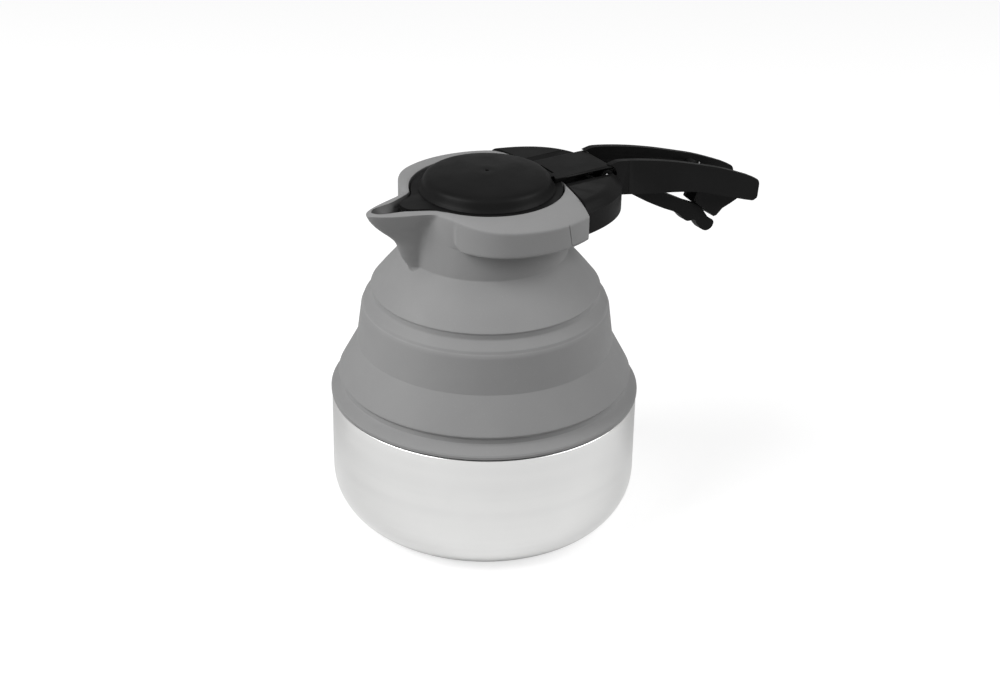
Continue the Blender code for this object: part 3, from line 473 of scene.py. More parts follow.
def new_material(name, roughness, metallic=0.0, specular=0.5):
    made = bpy.data.materials.new(name)
    made.use_nodes = True
    shader = made.node_tree.nodes["Principled BSDF"]
    for label, value in (("Roughness", roughness), ("Metallic", metallic), ("Specular IOR Level", specular)):
        shader.inputs[label].default_value = value
    return made, made.node_tree


def finished(made, colour, roughness, height, strength, distance):
    """Links a material's colour, roughness and fine surface."""
    tree = made.node_tree
    bump = node(tree, "ShaderNodeBump", {"Strength": strength, "Distance": distance * mm, "Height": height})
    inputs = tree.nodes["Principled BSDF"].inputs
    for label, source in (("Base Color", colour), ("Roughness", roughness), ("Normal", bump["Normal"])):
        tree.links.new(source, inputs[label])
    return made


def make_polished_steel():
    made, tree = new_material("polished_steel", 0.2, metallic=1.0)
    streak = effect(tree, lines, "Streak")
    clear = blended(tree, mottled(tree, 16.0), grey(0.655, 0.65), grey(0.70, 0.695))
    colour = blended(tree, spread(tree, streak, 0.35, 0.65, 0.0, 0.35), clear, grey(0.76, 0.75))
    return finished(made, colour, spread(tree, streak, 0.3, 0.7, 0.17, 0.27), effect(tree, lines, "Height"),
                    0.05, 0.03)


def make_screw_steel(name="screw_steel", plain=0.42, rubbed=0.62):
    made, tree = new_material(name, 0.35, metallic=1.0)
    colour = blended(tree, effect(tree, wear_and_highlight, "Mask"), grey(plain), grey(rubbed))
    return finished(made, colour, mottled(tree, 420.0, 0.26, 0.44), grained(tree, 2400.0), 0.12, 0.03)


def make_grey_silicone():
    """Its outside, and painted shade on the inside of the collar: a darker grey where the piece's own marks say so.
    """
    made, tree = new_material("grey_silicone", 0.6, specular=0.2)
    speck = spread(tree, grained(tree, 1500.0, 0.15), 0.62, 0.76, 0.0, 0.35)
    plain = blended(tree, mottled(tree, 26.0), grey(0.262, 0.263), grey(0.282))
    dusty = blended(tree, speck, plain, grey(0.36))
    # The lighter convex edges are partly wear and partly a painted highlight.
    worn_and_highlit = effect(tree, wear_and_highlight, "Mask", Start=0.53, Full=0.68, Breaks=70.0)
    outside = blended(tree, worn_and_highlit, dusty, grey(0.37))
    # The darker grey on the collar's inside is painted shade.
    inner_side = node(tree, "ShaderNodeAttribute", attribute_name="inner_side")["Fac"]
    return finished(made, blended(tree, inner_side, outside, grey(0.08)), mottled(tree, 60.0, 0.5, 0.64),
                    grained(tree, 1300.0), 0.10, 0.06)


def make_black_plastic():
    made, tree = new_material("black_plastic", 0.42, specular=0.06)
    # The lighter convex edges are partly wear and partly a painted highlight.
    worn_and_highlit = effect(tree, wear_and_highlight, "Mask", Start=0.53, Full=0.66, Breaks=240.0)
    plain = blended(tree, mottled(tree, 38.0), grey(0.006), grey(0.009))
    return finished(made, blended(tree, worn_and_highlit, plain, grey(0.014)), mottled(tree, 90.0, 0.34, 0.48),
                    grained(tree, 1100.0, 0.4), 0.16, 0.06)


def make_seal_rubber():
    made, tree = new_material("seal_rubber", 0.6, specular=0.3)
    return finished(made, blended(tree, mottled(tree, 140.0), grey(0.36), grey(0.42)),
                    mottled(tree, 220.0, 0.52, 0.7), grained(tree, 1800.0), 0.1, 0.05)


steel, silicone = make_polished_steel(), make_grey_silicone()
plastic, rubber = make_black_plastic(), make_seal_rubber()
screw_steel, dark_steel = make_screw_steel(), make_screw_steel("dark_pin_steel", 0.07, 0.16)
print("finishes:", ", ".join(made.name for made in (steel, screw_steel, dark_steel, silicone, plastic, rubber)))


def dressed(piece, finish, body, slot, *replaced):
    """Gives a finished piece its material and its body, and hides the nodes that it stands for. The slot is not
    used.
    """
    piece.data.materials.clear()
    piece.data.materials.append(finish)
    if body:
        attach(piece, body)
    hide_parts(*replaced)


def moulded(piece, width, steps, body, *replaced, degrees=42.0):
    """A piece of black plastic with soft edges."""
    softened(piece, width, steps, degrees)
    dressed(report(piece), plastic, body, "black_plastic", *replaced)


# %% [markdown]
# ## The steel pot
# The pot is deep drawn from sheet, so its wall is thin and its bottom corner is one large radius. The mouth
# is trimmed and its edge is rounded over. The silicone's flange sits on that edge. It is turned from a
# closed profile, outside and inside, because the inside shows when the lid is open.

# %% Turn the pot
pot_radius, pot_height, pot_corner, pot_wall = 75.0, 66.4, 24.5, 0.8
lip_start = pot_height - 0.6


def pot_side(radius, base, corner):
    """Half the section of a pot: its base, its rounded corner and its wall up to the lip."""
    flat = spaced([(0.0, base), (radius - corner * 1.1, base)], 8.0)[:-1]
    return flat + arc((radius - corner, base + corner), corner, -90, 0, 24) + [(radius, lip_start)]


outer_wall = pot_side(pot_radius, 0.0, pot_corner)
inner_wall = pot_side(pot_radius - pot_wall, pot_wall, pot_corner - pot_wall)
lip = [(74.92, 66.05), (74.72, 66.27), (74.45, 66.37), (74.3, 66.37), (74.22, 66.2)]
pot = turned("pot_shell", outer_wall + lip + inner_wall[::-1], steel, closed=False)
dressed(pot, steel, "base", "polished_steel", "steel_pot")
band = rounded([(70.95, 64.1), (70.95, 57.5), (70.2, 57.5), (70.2, 61.5), (70.2, 64.1)],
               [0.3, 0.3, 0.3, 0, 0.3], steps=3, closed=True)
dressed(turned("clamp_band", band, steel, steps=160), steel, "base", "polished_steel", "rim_clamp_ring")

# %% [markdown]
# ## The lower half of the silicone
# The whole grey body is one moulding. Two things cross it: the joint between base and tier, and the one
# between tier and top. A piece can bend over one joint only, so the moulding is made in two, and they meet
# on the tier's rounded top, where a soft edge runs round the real one. The lower half is turned: a flange on
# the pot's rim, a groove where it rolls when it folds, a cone and the steep tier wall.

# %% Turn the lower half
meeting = (59.55, 113.5)
lower_outside = rounded(
    [(74.1, 66.75), (74.3, 66.75), (75.4, 67.25), (75.4, 68.5), (74.9, 69.3), (71.75, 71.85), (71.2, 72.3),
     (70.5, 73.1), (70.3, 75.4), (71.75, 76.9), (62.45, 94.25), (60.1, 112.2), meeting],
    [0, 0, 0.3, 0.5, 0.4, 0.35, 0.1, 0.5, 0.8, 1.0, 0.5, 0.0, 0], steps=6)
lower_inside = rounded(
    [(57.6, 113.5), (58.0, 112.0), (60.1, 94.6), (68.9, 77.6), (68.4, 74.6), (70.2, 72.0), (71.2, 67.0),
     (71.2, 58.3), (73.8, 58.3), (73.8, 66.4)],
    [0, 0, 1.0, 1.5, 1.2, 0.8, 0, 0.6, 0.6, 0])
lower_body = turned("silicone_lower_body", spaced(lower_outside, 1.1) + spaced(lower_inside, 2.0), silicone,
                    sharp_degrees=40.0)
dressed(lower_body, silicone, None, "grey_silicone", "silicone_flange", "silicone_lower_web", "silicone_tier")
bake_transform(lower_body)

# %% [markdown]
# ## The upper half: shoulder, dome, collar and beak
# This half can't be turned, because the collar has a beak in front and a cuff behind. It is a loft: a stack of
# closed rings, all with the same number of points, joined by quads. A ring is half an outline, from the
# beak's ridge round to the back, mirrored. In front, the first points run along the beak, from its ridge to
# the crease where it leaves the neck, so that the crease always falls between the same two columns and stays
# clean. Behind it the outline is the neck's circle, or the cuff's wider one that fades in from the front.

# %% The sizes that the rings follow
neck_radius, seat_radius = 39.3, 36.7
dome_foot, dome_foot_radius = 122.4, 55.6
neck_foot, neck_foot_radius = 141.4, 39.2
cuff_low, cuff_high = 156.6, 169.3
cuff_radius, cuff_shift = 51.4, 5.7
beak_columns, near_columns, edge_columns, rest_columns = 18, 14, 28, 58
band_start = math.radians(36.0)

ridge_table = ((138.4, 41.4), (141.2, 42.9), (146.0, 46.0), (150.6, 48.0), (153.5, 48.9), (155.8, 50.3),
               (158.7, 53.3), (161.2, 56.4), (163.6, 59.0), (166.0, 61.3), (168.5, 63.2), (171.0, 64.5),
               (172.6, 64.85))
half_width_table = ((138.4, 3.9), (142.0, 4.8), (151.0, 6.3), (162.0, 8.8), (168.0, 11.5), (172.6, 13.8))
beak_root, beak_roundness, channel_half_width = 3.9, 0.56, 12.0
beak_low, beak_high, beak_rim_width = 157.0, 171.4, 2.4
channel_table = ((139.0, 39.0), (150.0, 43.0), (158.0, 48.2), (164.0, 53.0), (166.4, 55.6), (168.0, 57.8),
                 (169.2, 59.3), (170.4, 60.7), (171.4, 61.6), (172.2, 62.1))
channel_shape = ((0.0, 0.0), (0.04, 0.17), (0.10, 0.28), (0.18, 0.36), (0.34, 0.42), (0.5, 0.49), (0.71, 0.70),
                 (0.86, 0.86), (1.0, 1.0))
edge_table = ((0.0, 170.4), (17.0, 170.4), (26.0, 171.1), (36.0, 171.4), (44.0, 170.9), (54.0, 170.3),
              (64.0, 170.0), (78.0, 169.8), (104.0, cuff_high), (180.0, cuff_high))


def dome_radius(height):
    share = (height - dome_foot) / (neck_foot - dome_foot)
    straight = dome_foot_radius + (neck_foot_radius - dome_foot_radius) * share
    return straight + 0.5 * math.sin(math.pi * min(max(share, 0.0), 1.0))


def cuff_share(angle):
    return smooth((math.degrees(angle) - 18.0) / 52.0)


def band_share(angle, height_above):
    """Nothing in front of the band's square start, one behind it. The band's lower corner is rounded."""
    later = math.radians(4.5) * (1 - min(max(height_above / 3.8, 0.0), 1.0)) ** 2
    return smooth((angle - band_start - later) / math.radians(3.2))


def cuff_outline(angle):
    """The neck's circle in front, and behind it the wider circle of the cuff, which is set back."""
    across = cuff_shift * math.sin(angle)
    circle = -cuff_shift * math.cos(angle) + math.sqrt(cuff_radius ** 2 - across ** 2)
    return neck_radius + (circle - neck_radius) * cuff_share(angle)


def edge_height(angle):
    """The height of the collar's outer edge, which climbs a little towards the beak."""
    return from_table(edge_table, math.degrees(angle))


def body_angles(crease):
    """The columns' angles. They lie close together at the band's start, at the same angles in every ring."""
    dense, after = math.radians(31.0), math.radians(46.0)
    return np.concatenate([np.linspace(crease, dense, near_columns, endpoint=False),
                           np.linspace(dense, after, edge_columns, endpoint=False),
                           np.linspace(after, math.pi, rest_columns + 1)])


# %% One ring of the loft
def beak_outline(ridge, half_width, crease_x, shape):
    """Points from the ridge to the crease, as (reach, half width)."""
    out = []
    for share in ((column / beak_columns) ** 1.6 for column in range(beak_columns)):
        across = share ** shape if isinstance(shape, float) else from_table(shape, share)
        out.append((ridge + (crease_x - ridge) * share, half_width * across))
    return out


def ring(radius_at, height_at, crease_radius, beak=None):
    """A closed ring. beak is (ridge, half width, height, shape, softness), or None for a plain outline.

    The softness eases the crease between beak and neck: points near it move towards their neighbours."""
    half_width = beak[1] if beak else beak_root
    crease = math.asin(half_width / crease_radius)
    half = []
    if beak:
        ridge, _, beak_height, shape, softness = beak
        for reach, across in beak_outline(ridge, half_width, crease_radius * math.cos(crease), shape):
            half.append([-reach, across, beak_height])
    else:
        softness = 0.0
        for column in range(beak_columns):
            angle = crease * (column / beak_columns) ** 1.1
            half.append([-radius_at(angle) * math.cos(angle), radius_at(angle) * math.sin(angle),
                         height_at(angle)])
    for column, angle in enumerate(body_angles(crease)):
        height = height_at(angle)
        if beak:
            height += (beak_height - height) * (1 - smooth((angle - crease) / math.radians(13.0)))
        radius = radius_at(angle) if column else crease_radius
        half.append([-radius * math.cos(angle), radius * math.sin(angle), height])
    whole = np.array(half + [[x, -y, z] for x, y, z in half[-2:0:-1]])
    if softness:
        count = len(whole)
        columns = np.minimum(np.arange(count), count - np.arange(count))
        nearness = np.exp(-((columns - beak_columns) / (1.2 + 3.4 * softness)) ** 2)[:, None]
        for _ in range(int(4 + 26 * softness)):
            whole += ((np.roll(whole, 1, 0) + np.roll(whole, -1, 0)) / 2 - whole) * 0.5 * nearness
    return whole


# %% Stack the rings, up the outside
def round_ring(radius, height, beak=None):
    return ring(lambda angle: radius, lambda angle: height, radius, beak)


def outer_beak(height, softness):
    return from_table(ridge_table, height), from_table(half_width_table, height), height, beak_roundness, softness


foot = rounded([meeting, (58.95, 115.1), (55.15, 119.2), (55.1, 121.6), (55.6, 122.5), (dome_radius(124.0), 124.0)],
               [0, 1.6, 1.6, 0.5, 0.9, 0], steps=7)
neck_line = rounded([(dome_radius(138.8), 138.8), (neck_foot_radius, neck_foot), (neck_radius, 144.0),
                     (neck_radius, cuff_low - 0.2)], [0, 1.1, 0, 0], steps=6)
rings = [round_ring(radius, height) for radius, height in spaced(foot, 0.8)]
rings += [round_ring(dome_radius(height), height) for height in np.arange(124.8, 138.3, 0.8)]
rings += [round_ring(radius, height, outer_beak(height, 0.04)) for radius, height in spaced(neck_line, 0.9)]

# %% The cuff: its underside and round edges, its wall, its sloping top
# Each step is the share of the way out, the share of the way up, and the beak's height.
cuff_steps = [(0.03, 0.000, 157.2), (0.2, 0.002, 157.8), (0.45, 0.004, 158.4), (0.7, 0.006, 159.0),
              (0.86, 0.010, 159.7), (0.95, 0.026, 160.3), (0.985, 0.056, 160.9), (1.0, 0.1, 161.5),
              (1.0, 0.17, 162.2), (1.0, 0.25, 163.0), (1.0, 0.34, 163.8), (1.0, 0.44, 164.7),
              (1.0, 0.55, 165.6), (1.0, 0.66, 166.6), (1.0, 0.76, 167.6), (1.0, 0.85, 168.6),
              (1.0, 0.915, 169.6), (0.988, 0.955, 170.4), (0.965, 0.985, 171.0), (0.93, 1.004, 171.4)]


def cuff_ring(out_share, up_share, beak_height):
    """Behind the band's start the cuff stands out square. In front it flares softly into the beak."""
    climb = (beak_height - beak_low) / (beak_high - beak_low)
    flare = smooth(climb) ** 1.25 * (out_share if climb > 0.9 else 1.0)

    def parts_at(angle):
        top = edge_height(angle)
        banded = cuff_low + (top - cuff_low) * up_share
        band = band_share(angle, banded - cuff_low)
        even = cuff_low + (top - cuff_low) * climb
        slid = smooth((angle - band_start + math.radians(14.0)) / math.radians(14.0))
        return band, even + (banded - even) * slid

    def radius_at(angle):
        band, _ = parts_at(angle)
        return neck_radius + (cuff_outline(angle) - neck_radius) * (flare + (out_share - flare) * band)

    soft = 0.04 + 0.9 * smooth((beak_height - 167.5) / 3.5)
    return ring(radius_at, lambda angle: parts_at(angle)[1],
                neck_radius + 0.1 + 1.9 * smooth((beak_height - 163.0) / 8.0), outer_beak(beak_height, soft))


rings += [cuff_ring(*step) for step in cuff_steps]

# %% The rim, the lid's seat and the inside, back down to the foot
rim_inside, rim_top = seat_radius + 0.9, 172.7
rim_low, rim_beak_low, rim_beak_rise = 0.93, 171.6, 0.6
rim_crease, rim_beak_half_width = (41.2, 38.0), (13.5, 12.2)


def rim_ring(share):
    """The rim, from the cuff's edge at a share of nothing to the lid's seat at one."""
    crease, half_width = (start + (end - start) * share for start, end in (rim_crease, rim_beak_half_width))

    def radius_at(angle):
        outer = neck_radius + (cuff_outline(angle) - neck_radius) * rim_low
        return outer + (rim_inside - outer) * share

    def height_at(angle):
        low = edge_height(angle) + 0.1
        return low + (rim_top - low) * (1 - (1 - share) ** 2.4)

    reach = from_table(ridge_table, rim_beak_low) - beak_rim_width * smooth(share * 1.1 - 0.1)
    shape = [(place, (1 - share) * place ** beak_roundness + share * from_table(channel_shape, place))
             for place in np.linspace(0, 1, 21)]
    beak = reach, half_width, rim_beak_low + rim_beak_rise * smooth(share), shape, 1.0 - 0.6 * share
    return ring(radius_at, height_at, crease, beak)


def inner_beak(height, inset_radius):
    reach = max(from_table(channel_table, height), inset_radius + 0.4)
    half_width = channel_half_width * (0.52 + 0.48 * smooth((height - 150.0) / 20.0))
    return reach, half_width, height, channel_shape, 0.25


rings += [rim_ring(share) for share in (0.06, 0.2, 0.4, 0.6, 0.8, 0.94, 1.0)]
for radius, height, beak_height in ((37.05, 172.95, 172.3), (36.8, 172.6, 172.1), (36.7, 171.9, 171.6),
                                    (36.7, 170.8, 170.7), (36.7, 169.6, 169.8), (36.7, 168.7, 169.1),
                                    (36.5, 168.45, 168.9), (35.3, 168.4, 168.4), (35.0, 168.1, 167.7),
                                    (35.0, 166.0, 165.5), (35.0, 163.0, 163.0), (35.0, 159.5, 160.0),
                                    (35.0, 155.0, 155.5), (35.0, 150.0, 150.5), (35.0, 145.0, 145.5)):
    rings.append(round_ring(radius, height, inner_beak(beak_height, radius)))
for radius, height in ((35.6, 141.2), (37.2, 139.2), (40.2, 136.5), (46.2, 129.5), (51.9, 123.0), (53.2, 121.9),
                       (53.0, 120.6), (54.2, 119.3), (56.6, 114.9), (57.55, 113.5)):
    rings.append(round_ring(radius, height))

round_count = len(rings[0])
corners = [(0, 0), (0, 1), (1, 1), (1, 0)]
faces = [[(row + up) % len(rings) * round_count + (column + along) % round_count for up, along in corners]
         for row in range(len(rings)) for column in range(round_count)]
print(len(rings), "rings of", round_count, "points")
upper_body = mesh_object("silicone_upper_body", np.concatenate(rings) * mm, faces)
tidy_mesh(upper_body)
report(upper_body)

# %% [markdown]
# ## The gap for the crescent and the seams of its tabs
# The black crescent takes the place of the collar's back, so that much is cut away, down to the neck's tube
# and the ledge that the lid sits on. Under the cuff a slot is open for the stiff ring that carries the
# handle. Beside the crescent each side of the cuff has a tab, which shows as a fine seam. All of it is cut from
# the loft with Booleans, because a loft through such square corners would crumple.

# %% Cut the back, the slot and the seams
neck_clear, ledge_clear, yoke_top = 39.6, 168.9, 165.9
front_face, front_half_width, front_sweep = 33.9, 15.0, math.radians(11.5)
below, above, beyond = 150.0, 180.0, 80.0
both_sides = (-1, 1)


def front_plan(shift, side, far):
    """The crescent's front seen from above, swept towards the beak on both sides, and closed at a far end."""
    swept = front_face + shift - (side - front_half_width) * math.tan(front_sweep)
    front = front_face + shift
    return [(swept, -side), (front, -front_half_width), (front, front_half_width), (swept, side),
            (far, side), (far, -side)]


def yoke_plan(growth=0.3):
    """The stiff ring from above: a horseshoe, wider at its back, grown by a clearance."""
    inner, outer = 39.9 - growth, 48.4 + growth
    reach = math.degrees(math.radians(118.0) + growth / inner)
    around = []
    for x, y in arc((0.0, 0.0), 1.0, -reach, reach, 72):
        radius = cuff_shift * x + math.sqrt(outer ** 2 - (cuff_shift * y) ** 2)
        around.append((radius * x, radius * y))
    return around + arc((0.0, 0.0), inner, reach, -reach, 72)


cut(upper_body, plate("slot", yoke_plan(), below, yoke_top))
back = plate("back", front_plan(-0.7, 70.0, 70.0), below, above)
cut(back, round_blank(neck_clear, below - 1.0, ledge_clear))
cut(upper_body, back)
for side in both_sides:
    seam = plate("seam", [(12.4, 171.0), (14.7, 158.9), (15.6, 157.9), (29.0, 157.9), (29.0, 158.2),
                          (15.8, 158.2), (15.0, 159.1), (12.75, 171.0)], 44.0 * side, 56.0 * side, upright=True)
    cut(seam, round_blank(51.05, below, above, centre=(cuff_shift, 0.0)))
    cut(upper_body, seam)
tidy_mesh(upper_body)
report(upper_body)


# %% Dress the upper half, and mark where shade is painted on the collar's inside
def inside_shade_painted(piece, start):
    """Marks how far each point above a height faces the kettle's axis, where shade is painted on the collar's
    inside.
    """
    shade_marks = piece.data.attributes.new("inner_side", "FLOAT", "POINT")
    for point, normal, shade_mark in zip(piece.data.vertices, piece.data.vertex_normals, shade_marks.data):
        outwards = Vector((point.co.x, point.co.y, 0.0)).normalized()
        facing = -normal.vector.dot(outwards)
        shade_mark.value = smooth((facing - 0.1) / 0.5) * smooth((point.co.z / mm - start) / 5.0)


dressed(upper_body, silicone, None, "grey_silicone", "silicone_upper_web", "silicone_dome", "silicone_collar")
shaded(upper_body, 40.0)
# These marks say where the collar's inside is painted in shade.
inside_shade_painted(upper_body, 145.0)
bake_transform(upper_body)

# %% [markdown]
# ## The crescent that carries the handle
# The crescent clips round the back of the collar and closes its rim, so the lid's plate sits inside it. It is
# lofted through rings about its own centre, a little wider at the back, with a sloping top, one soft edge
# and an upright side. Then the neck, the channel for the bridge, the pocket for the arms' feet and the slot for
# the trigger are cut. The two screws that hold the arms sit in sunk holes below.

# %% Loft and cut the crescent
pin = (60.5, 169.2)
arm_inner, arm_outer = 9.2, 12.3
channel_side = arm_outer + 0.4
arm_screw_x, arm_screw_y = 62.5, 10.75
mount_screws = arc((0.0, 0.0), 44.0, -32.0, 32.0, 1)


def crescent_ring(inset, height):
    """A ring that is 2.9 mm wider at the back than in front. The inset goes in towards its centre."""
    points = []
    for step in range(224):
        turn = math.tau * step / 224
        across = abs(math.degrees(math.atan2(math.sin(turn), math.cos(turn))))
        radius = max((44.6 + 2.9 * smooth((75.0 - across) / 45.0)) * (1 + inset / 47.5), 0.5)
        points.append((20.0 + radius * math.cos(turn), radius * math.sin(turn), height))
    return points


crescent_profile = rounded([(-47.0, 172.9), (-30.0, 172.9), (-5.0, 173.0), (-1.4, 169.9), (0.0, 168.9),
                            (0.0, 158.0), (-3.0, 158.0)],
                           [0, 6.0, 6.0, 0.8, 0.7, 0.7, 0], steps=6)
crescent = lofted("handle_crescent", [crescent_ring(inset, height) for inset, height in crescent_profile])
neck_space = round_blank(39.9, below, 169.2)
join(neck_space, round_blank(37.0, 169.0, above))
cut(crescent, plate("front", front_plan(0.0, 56.0, -40.0), below, above), neck_space,
    plate("yoke space", yoke_plan(), below, yoke_top),
    box_blank((0.0, -channel_side, 167.8), (beyond, channel_side, above)),
    box_blank((54.0, -channel_side, 161.5), (beyond, channel_side, above)),
    box_blank((56.0, -4.6, below), (beyond, 4.6, above)))
valley = [(-20.0, 180.0), (-20.0, 172.9), (-12.2, 170.6), (12.2, 170.6), (20.0, 172.9), (20.0, 180.0)]
cut(crescent, lofted("valley", [[(x, y, z) for y, z in valley] for x in (10.0, beyond)]))
for side, (x, y) in zip(both_sides, mount_screws):
    drilled(crescent, 2.6, arm_screw_x, arm_screw_y * side, below, 159.6, steps=40)
    drilled(crescent, 1.2, arm_screw_x, arm_screw_y * side, below, 163.0)
    drilled(crescent, 1.2, x, y, below, 171.2)
moulded(crescent, 0.35, 2, "top", "handle_mount", degrees=40.0)

# %% [markdown]
# ## The lid: plate, seal and cap
# The plate is a flat disc with a blunt cover that reaches over the beak, and a short tube below that carries
# the seal. Its outline is flat work, so it is drawn from above, extruded and softened. The cap and the seal are
# turned with the same tree as the pot. The cap's broad soft edge is what gives the lid its look, so its
# profile is drawn through many points. Its rear is cut out for the tongue of the bridge, and its
# middle has the hole that lets steam out.

# %% Lid plate
disc = arc((0.0, 0.0), 36.0, -154.5, 154.5, 149)
cover = flowing([disc[-1], (-33.9, 12.6), (-35.6, 10.1), (-38.4, 7.9), (-42.0, 6.1), (-44.6, 4.4), (-45.6, 2.2),
                 (-45.9, 0.0)], steps=4)[1:]
lid = plate("lid_disc", disc + cover + [(x, -y) for x, y in reversed(cover[:-1])], 168.9, 172.0)
tube = round_blank(33.0, 162.9, 170.0)
cut(tube, round_blank(31.0, 160.0, 169.4))
join(lid, tube)
drilled(lid, 6.0, 0.0, 0.0, 160.0, 176.0, steps=64)
cap_screws = arc((0.0, 0.0), 24.0, 60.0, 300.0, 2)
bridge_screws = [(26.0, -5.5), (26.0, 5.5)]
for x, y in cap_screws + bridge_screws:
    drilled(lid, 1.15, x, y, 160.0, 176.0)
moulded(lid, 0.35, 2, "lid", "lid_plate", degrees=40.0)

# %% Seal and cap
seal = turned("lid_seal", rounded([(33.3, 168.6), (34.2, 168.6), (34.4, 168.1), (34.0, 167.6), (34.35, 166.9),
                                   (34.0, 166.2), (34.35, 165.5), (34.0, 164.9), (33.6, 164.6), (33.3, 164.6)],
                                  [0.1] + [0.35] * 8 + [0.1], steps=4, closed=True), rubber)
dressed(seal, rubber, "lid", "seal_rubber", "lid_gasket")

cap_outer = [(0.9, 180.5), (1.0, 180.72), (1.4, 180.8)] + flowing(
    [(6.0, 180.66), (12.0, 180.3), (18.0, 179.8), (23.0, 179.25), (26.0, 178.8), (27.9, 178.35), (29.1, 177.75),
     (29.95, 176.9), (30.5, 175.8), (30.95, 174.7), (31.55, 173.5), (32.4, 172.5)], steps=5) + [(32.5, 172.3)]
cap_inner = [(31.1, 172.3), (31.0, 172.5), (30.2, 174.4), (28.0, 176.3), (23.0, 177.5), (12.0, 178.6), (0.9, 179.1)]
cap = turned("lid_dome_cap", cap_outer + cap_inner, plastic)
cut(cap, box_blank((21.2, -9.3, 170.0), (40.0, 9.3, 174.8)))
for x, y in cap_screws:
    join(cap, bar("boss", 2.7, (x, y, 172.3), (x, y, 177.9), 40))
    drilled(cap, 1.2, x, y, 170.0, 176.2)
dressed(report(shaded(cap, 38.0)), plastic, "lid", "black_plastic", "lid_cap")

# %% [markdown]
# ## The bridge from the lid to its hinge
# A flat plate hugs the cap's rear and runs back to the hinge pin. Its long edges are chamfered, a little wider
# towards the arms, which draws the bright line along it. Under its rear end are the barrel round the pin and
# the short tail that the trigger's nose presses. A tongue runs forward under the cap, where two screws hold it.

# %% Bridge plate with chamfered edges
def bridge_ring(height, narrowing, end):
    """The plan at one height, from the tongue's front corner to the rear end, and mirrored."""
    hug, tongue, side, rear = 32.95, 9.0, 12.1, 62.3
    plan = [(21.5, tongue)] + [(hug * math.cos(turn), hug * math.sin(turn))
                               for turn in np.linspace(math.asin(tongue / hug), math.asin(side / hug), 8)]
    plan += [(x, arm_outer) for x in np.linspace(32.0, rear, 12)]
    half = []
    for x, y in plan:
        chamfer = narrowing * (0.35 + 1.35 * smooth((x - 30.0) / 28.0)) if y > 10.0 else 0.0
        half.append((x if x < rear - 0.1 else end, y - chamfer, height))
    return half + [(x, -y, z) for x, y, z in reversed(half)]


def capsule(start, end, radius):
    lean = math.degrees(math.atan2(end[1] - start[1], end[0] - start[0]))
    return arc(end, radius, lean - 90, lean + 90, 12) + arc(start, radius, lean + 90, lean + 270, 12)


bridge = lofted("lid_bridge_plate", [bridge_ring(172.3, 0.85, 65.1), bridge_ring(173.85, 0.0, 63.55),
                                     bridge_ring(174.35, 0.4, 62.7), bridge_ring(174.5, 0.8, 62.3)])
tail_end = arc(pin, 8.5, -40, -40, 1)[0]
join(bridge, cross_bar("barrel", 3.7, pin, -8.7, 8.7, 64),
     plate("tail", capsule(pin, tail_end, 1.4), -3.5, 3.5, upright=True))
for side in both_sides:
    cut(bridge, cross_bar("lug space", 3.7, pin, 8.9 * side, 16.0 * side, 64))
cut(bridge, cross_bar("bore", 1.8, pin, -16, 16, 48))
for x, y in bridge_screws:
    drilled(bridge, 1.15, x, y, 170.0, 174.0)
cut(bridge, box_blank((32.9, -5.6, 173.4), (34.1, 5.6, 176.0)))
moulded(bridge, 0.2, 2, "lid", "lid_bridge")

# %% [markdown]
# ## The handle's two arms
# Each arm is a moulded plate that droops to the rear, with a foot in the crescent's pocket and a round lug on the
# hinge pin. The outline is drawn from the side through measured points, made to flow, extruded and given a
# broad soft edge. Three blind bores on the inner side take the pins. A fine line crosses the outer side where
# the mould's slide ends.

# %% Both arms
trigger_pin, catch_pin = (76.0, 161.0), (126.0, 156.0)
arm_back = flowing([(61.9, 174.95), (64.6, 175.55), (68.5, 175.75), (79.7, 173.9), (91.8, 171.2), (104.2, 167.9),
                    (116.8, 164.0), (129.6, 159.8), (139.4, 155.9), (149.0, 151.7)], steps=4)
arm_end = rounded([(149.0, 151.7), (156.2, 147.9), (155.3, 138.3), (152.6, 137.2), (147.3, 138.9)],
                  [0, 4.6, 1.6, 2.6, 0], steps=8)[1:-1]
arm_belly = flowing([(147.3, 138.9), (137.4, 142.4), (127.6, 145.9), (117.9, 149.2), (105.3, 151.9), (86.8, 155.0),
                     (69.9, 158.0)], steps=4)
arm_foot = [(68.4, 158.2), (68.4, 161.8), (58.5, 161.8), (58.5, 167.5)]
arm_lug = arc(pin, 3.4, 210, -4, 28) + arc(pin, 5.75, -4, 78, 20)
arm_outline = arm_back + arm_end + arm_belly + arm_foot + arm_lug[:-1]
groove = [(73.85, 156.0), (74.05, 156.0), (73.25, 177.0), (73.05, 177.0)]

for name, side in (("right", -1), ("left", 1)):
    arm = plate("grip_arm_" + name, arm_outline, *sorted((arm_inner * side, arm_outer * side)), upright=True)
    for radius, place, depth in ((1.8, pin, 16.0), (1.8, trigger_pin, 11.5), (1.5, catch_pin, 11.5)):
        cut(arm, cross_bar("bore", radius, place, 8.0 * side, depth * side, 40))
    drilled(arm, 1.15, arm_screw_x, arm_screw_y * side, 160.0, 165.6)
    cut(arm, plate("line", groove, (arm_outer - 0.12) * side, 13.0 * side, upright=True))
    moulded(arm, 0.5, 3, "top", "handle_arm_" + name)

# %% [markdown]
# ## The trigger and the catch
# The trigger is a sloping bar with a soft heel for the finger and a round tab at its end. It turns on its own
# pin between the arms, and its short nose presses the bridge's tail. The catch hangs behind the tab: two
# cheeks joined by a web, on a third pin. Both are drawn from the side, as the arms are.

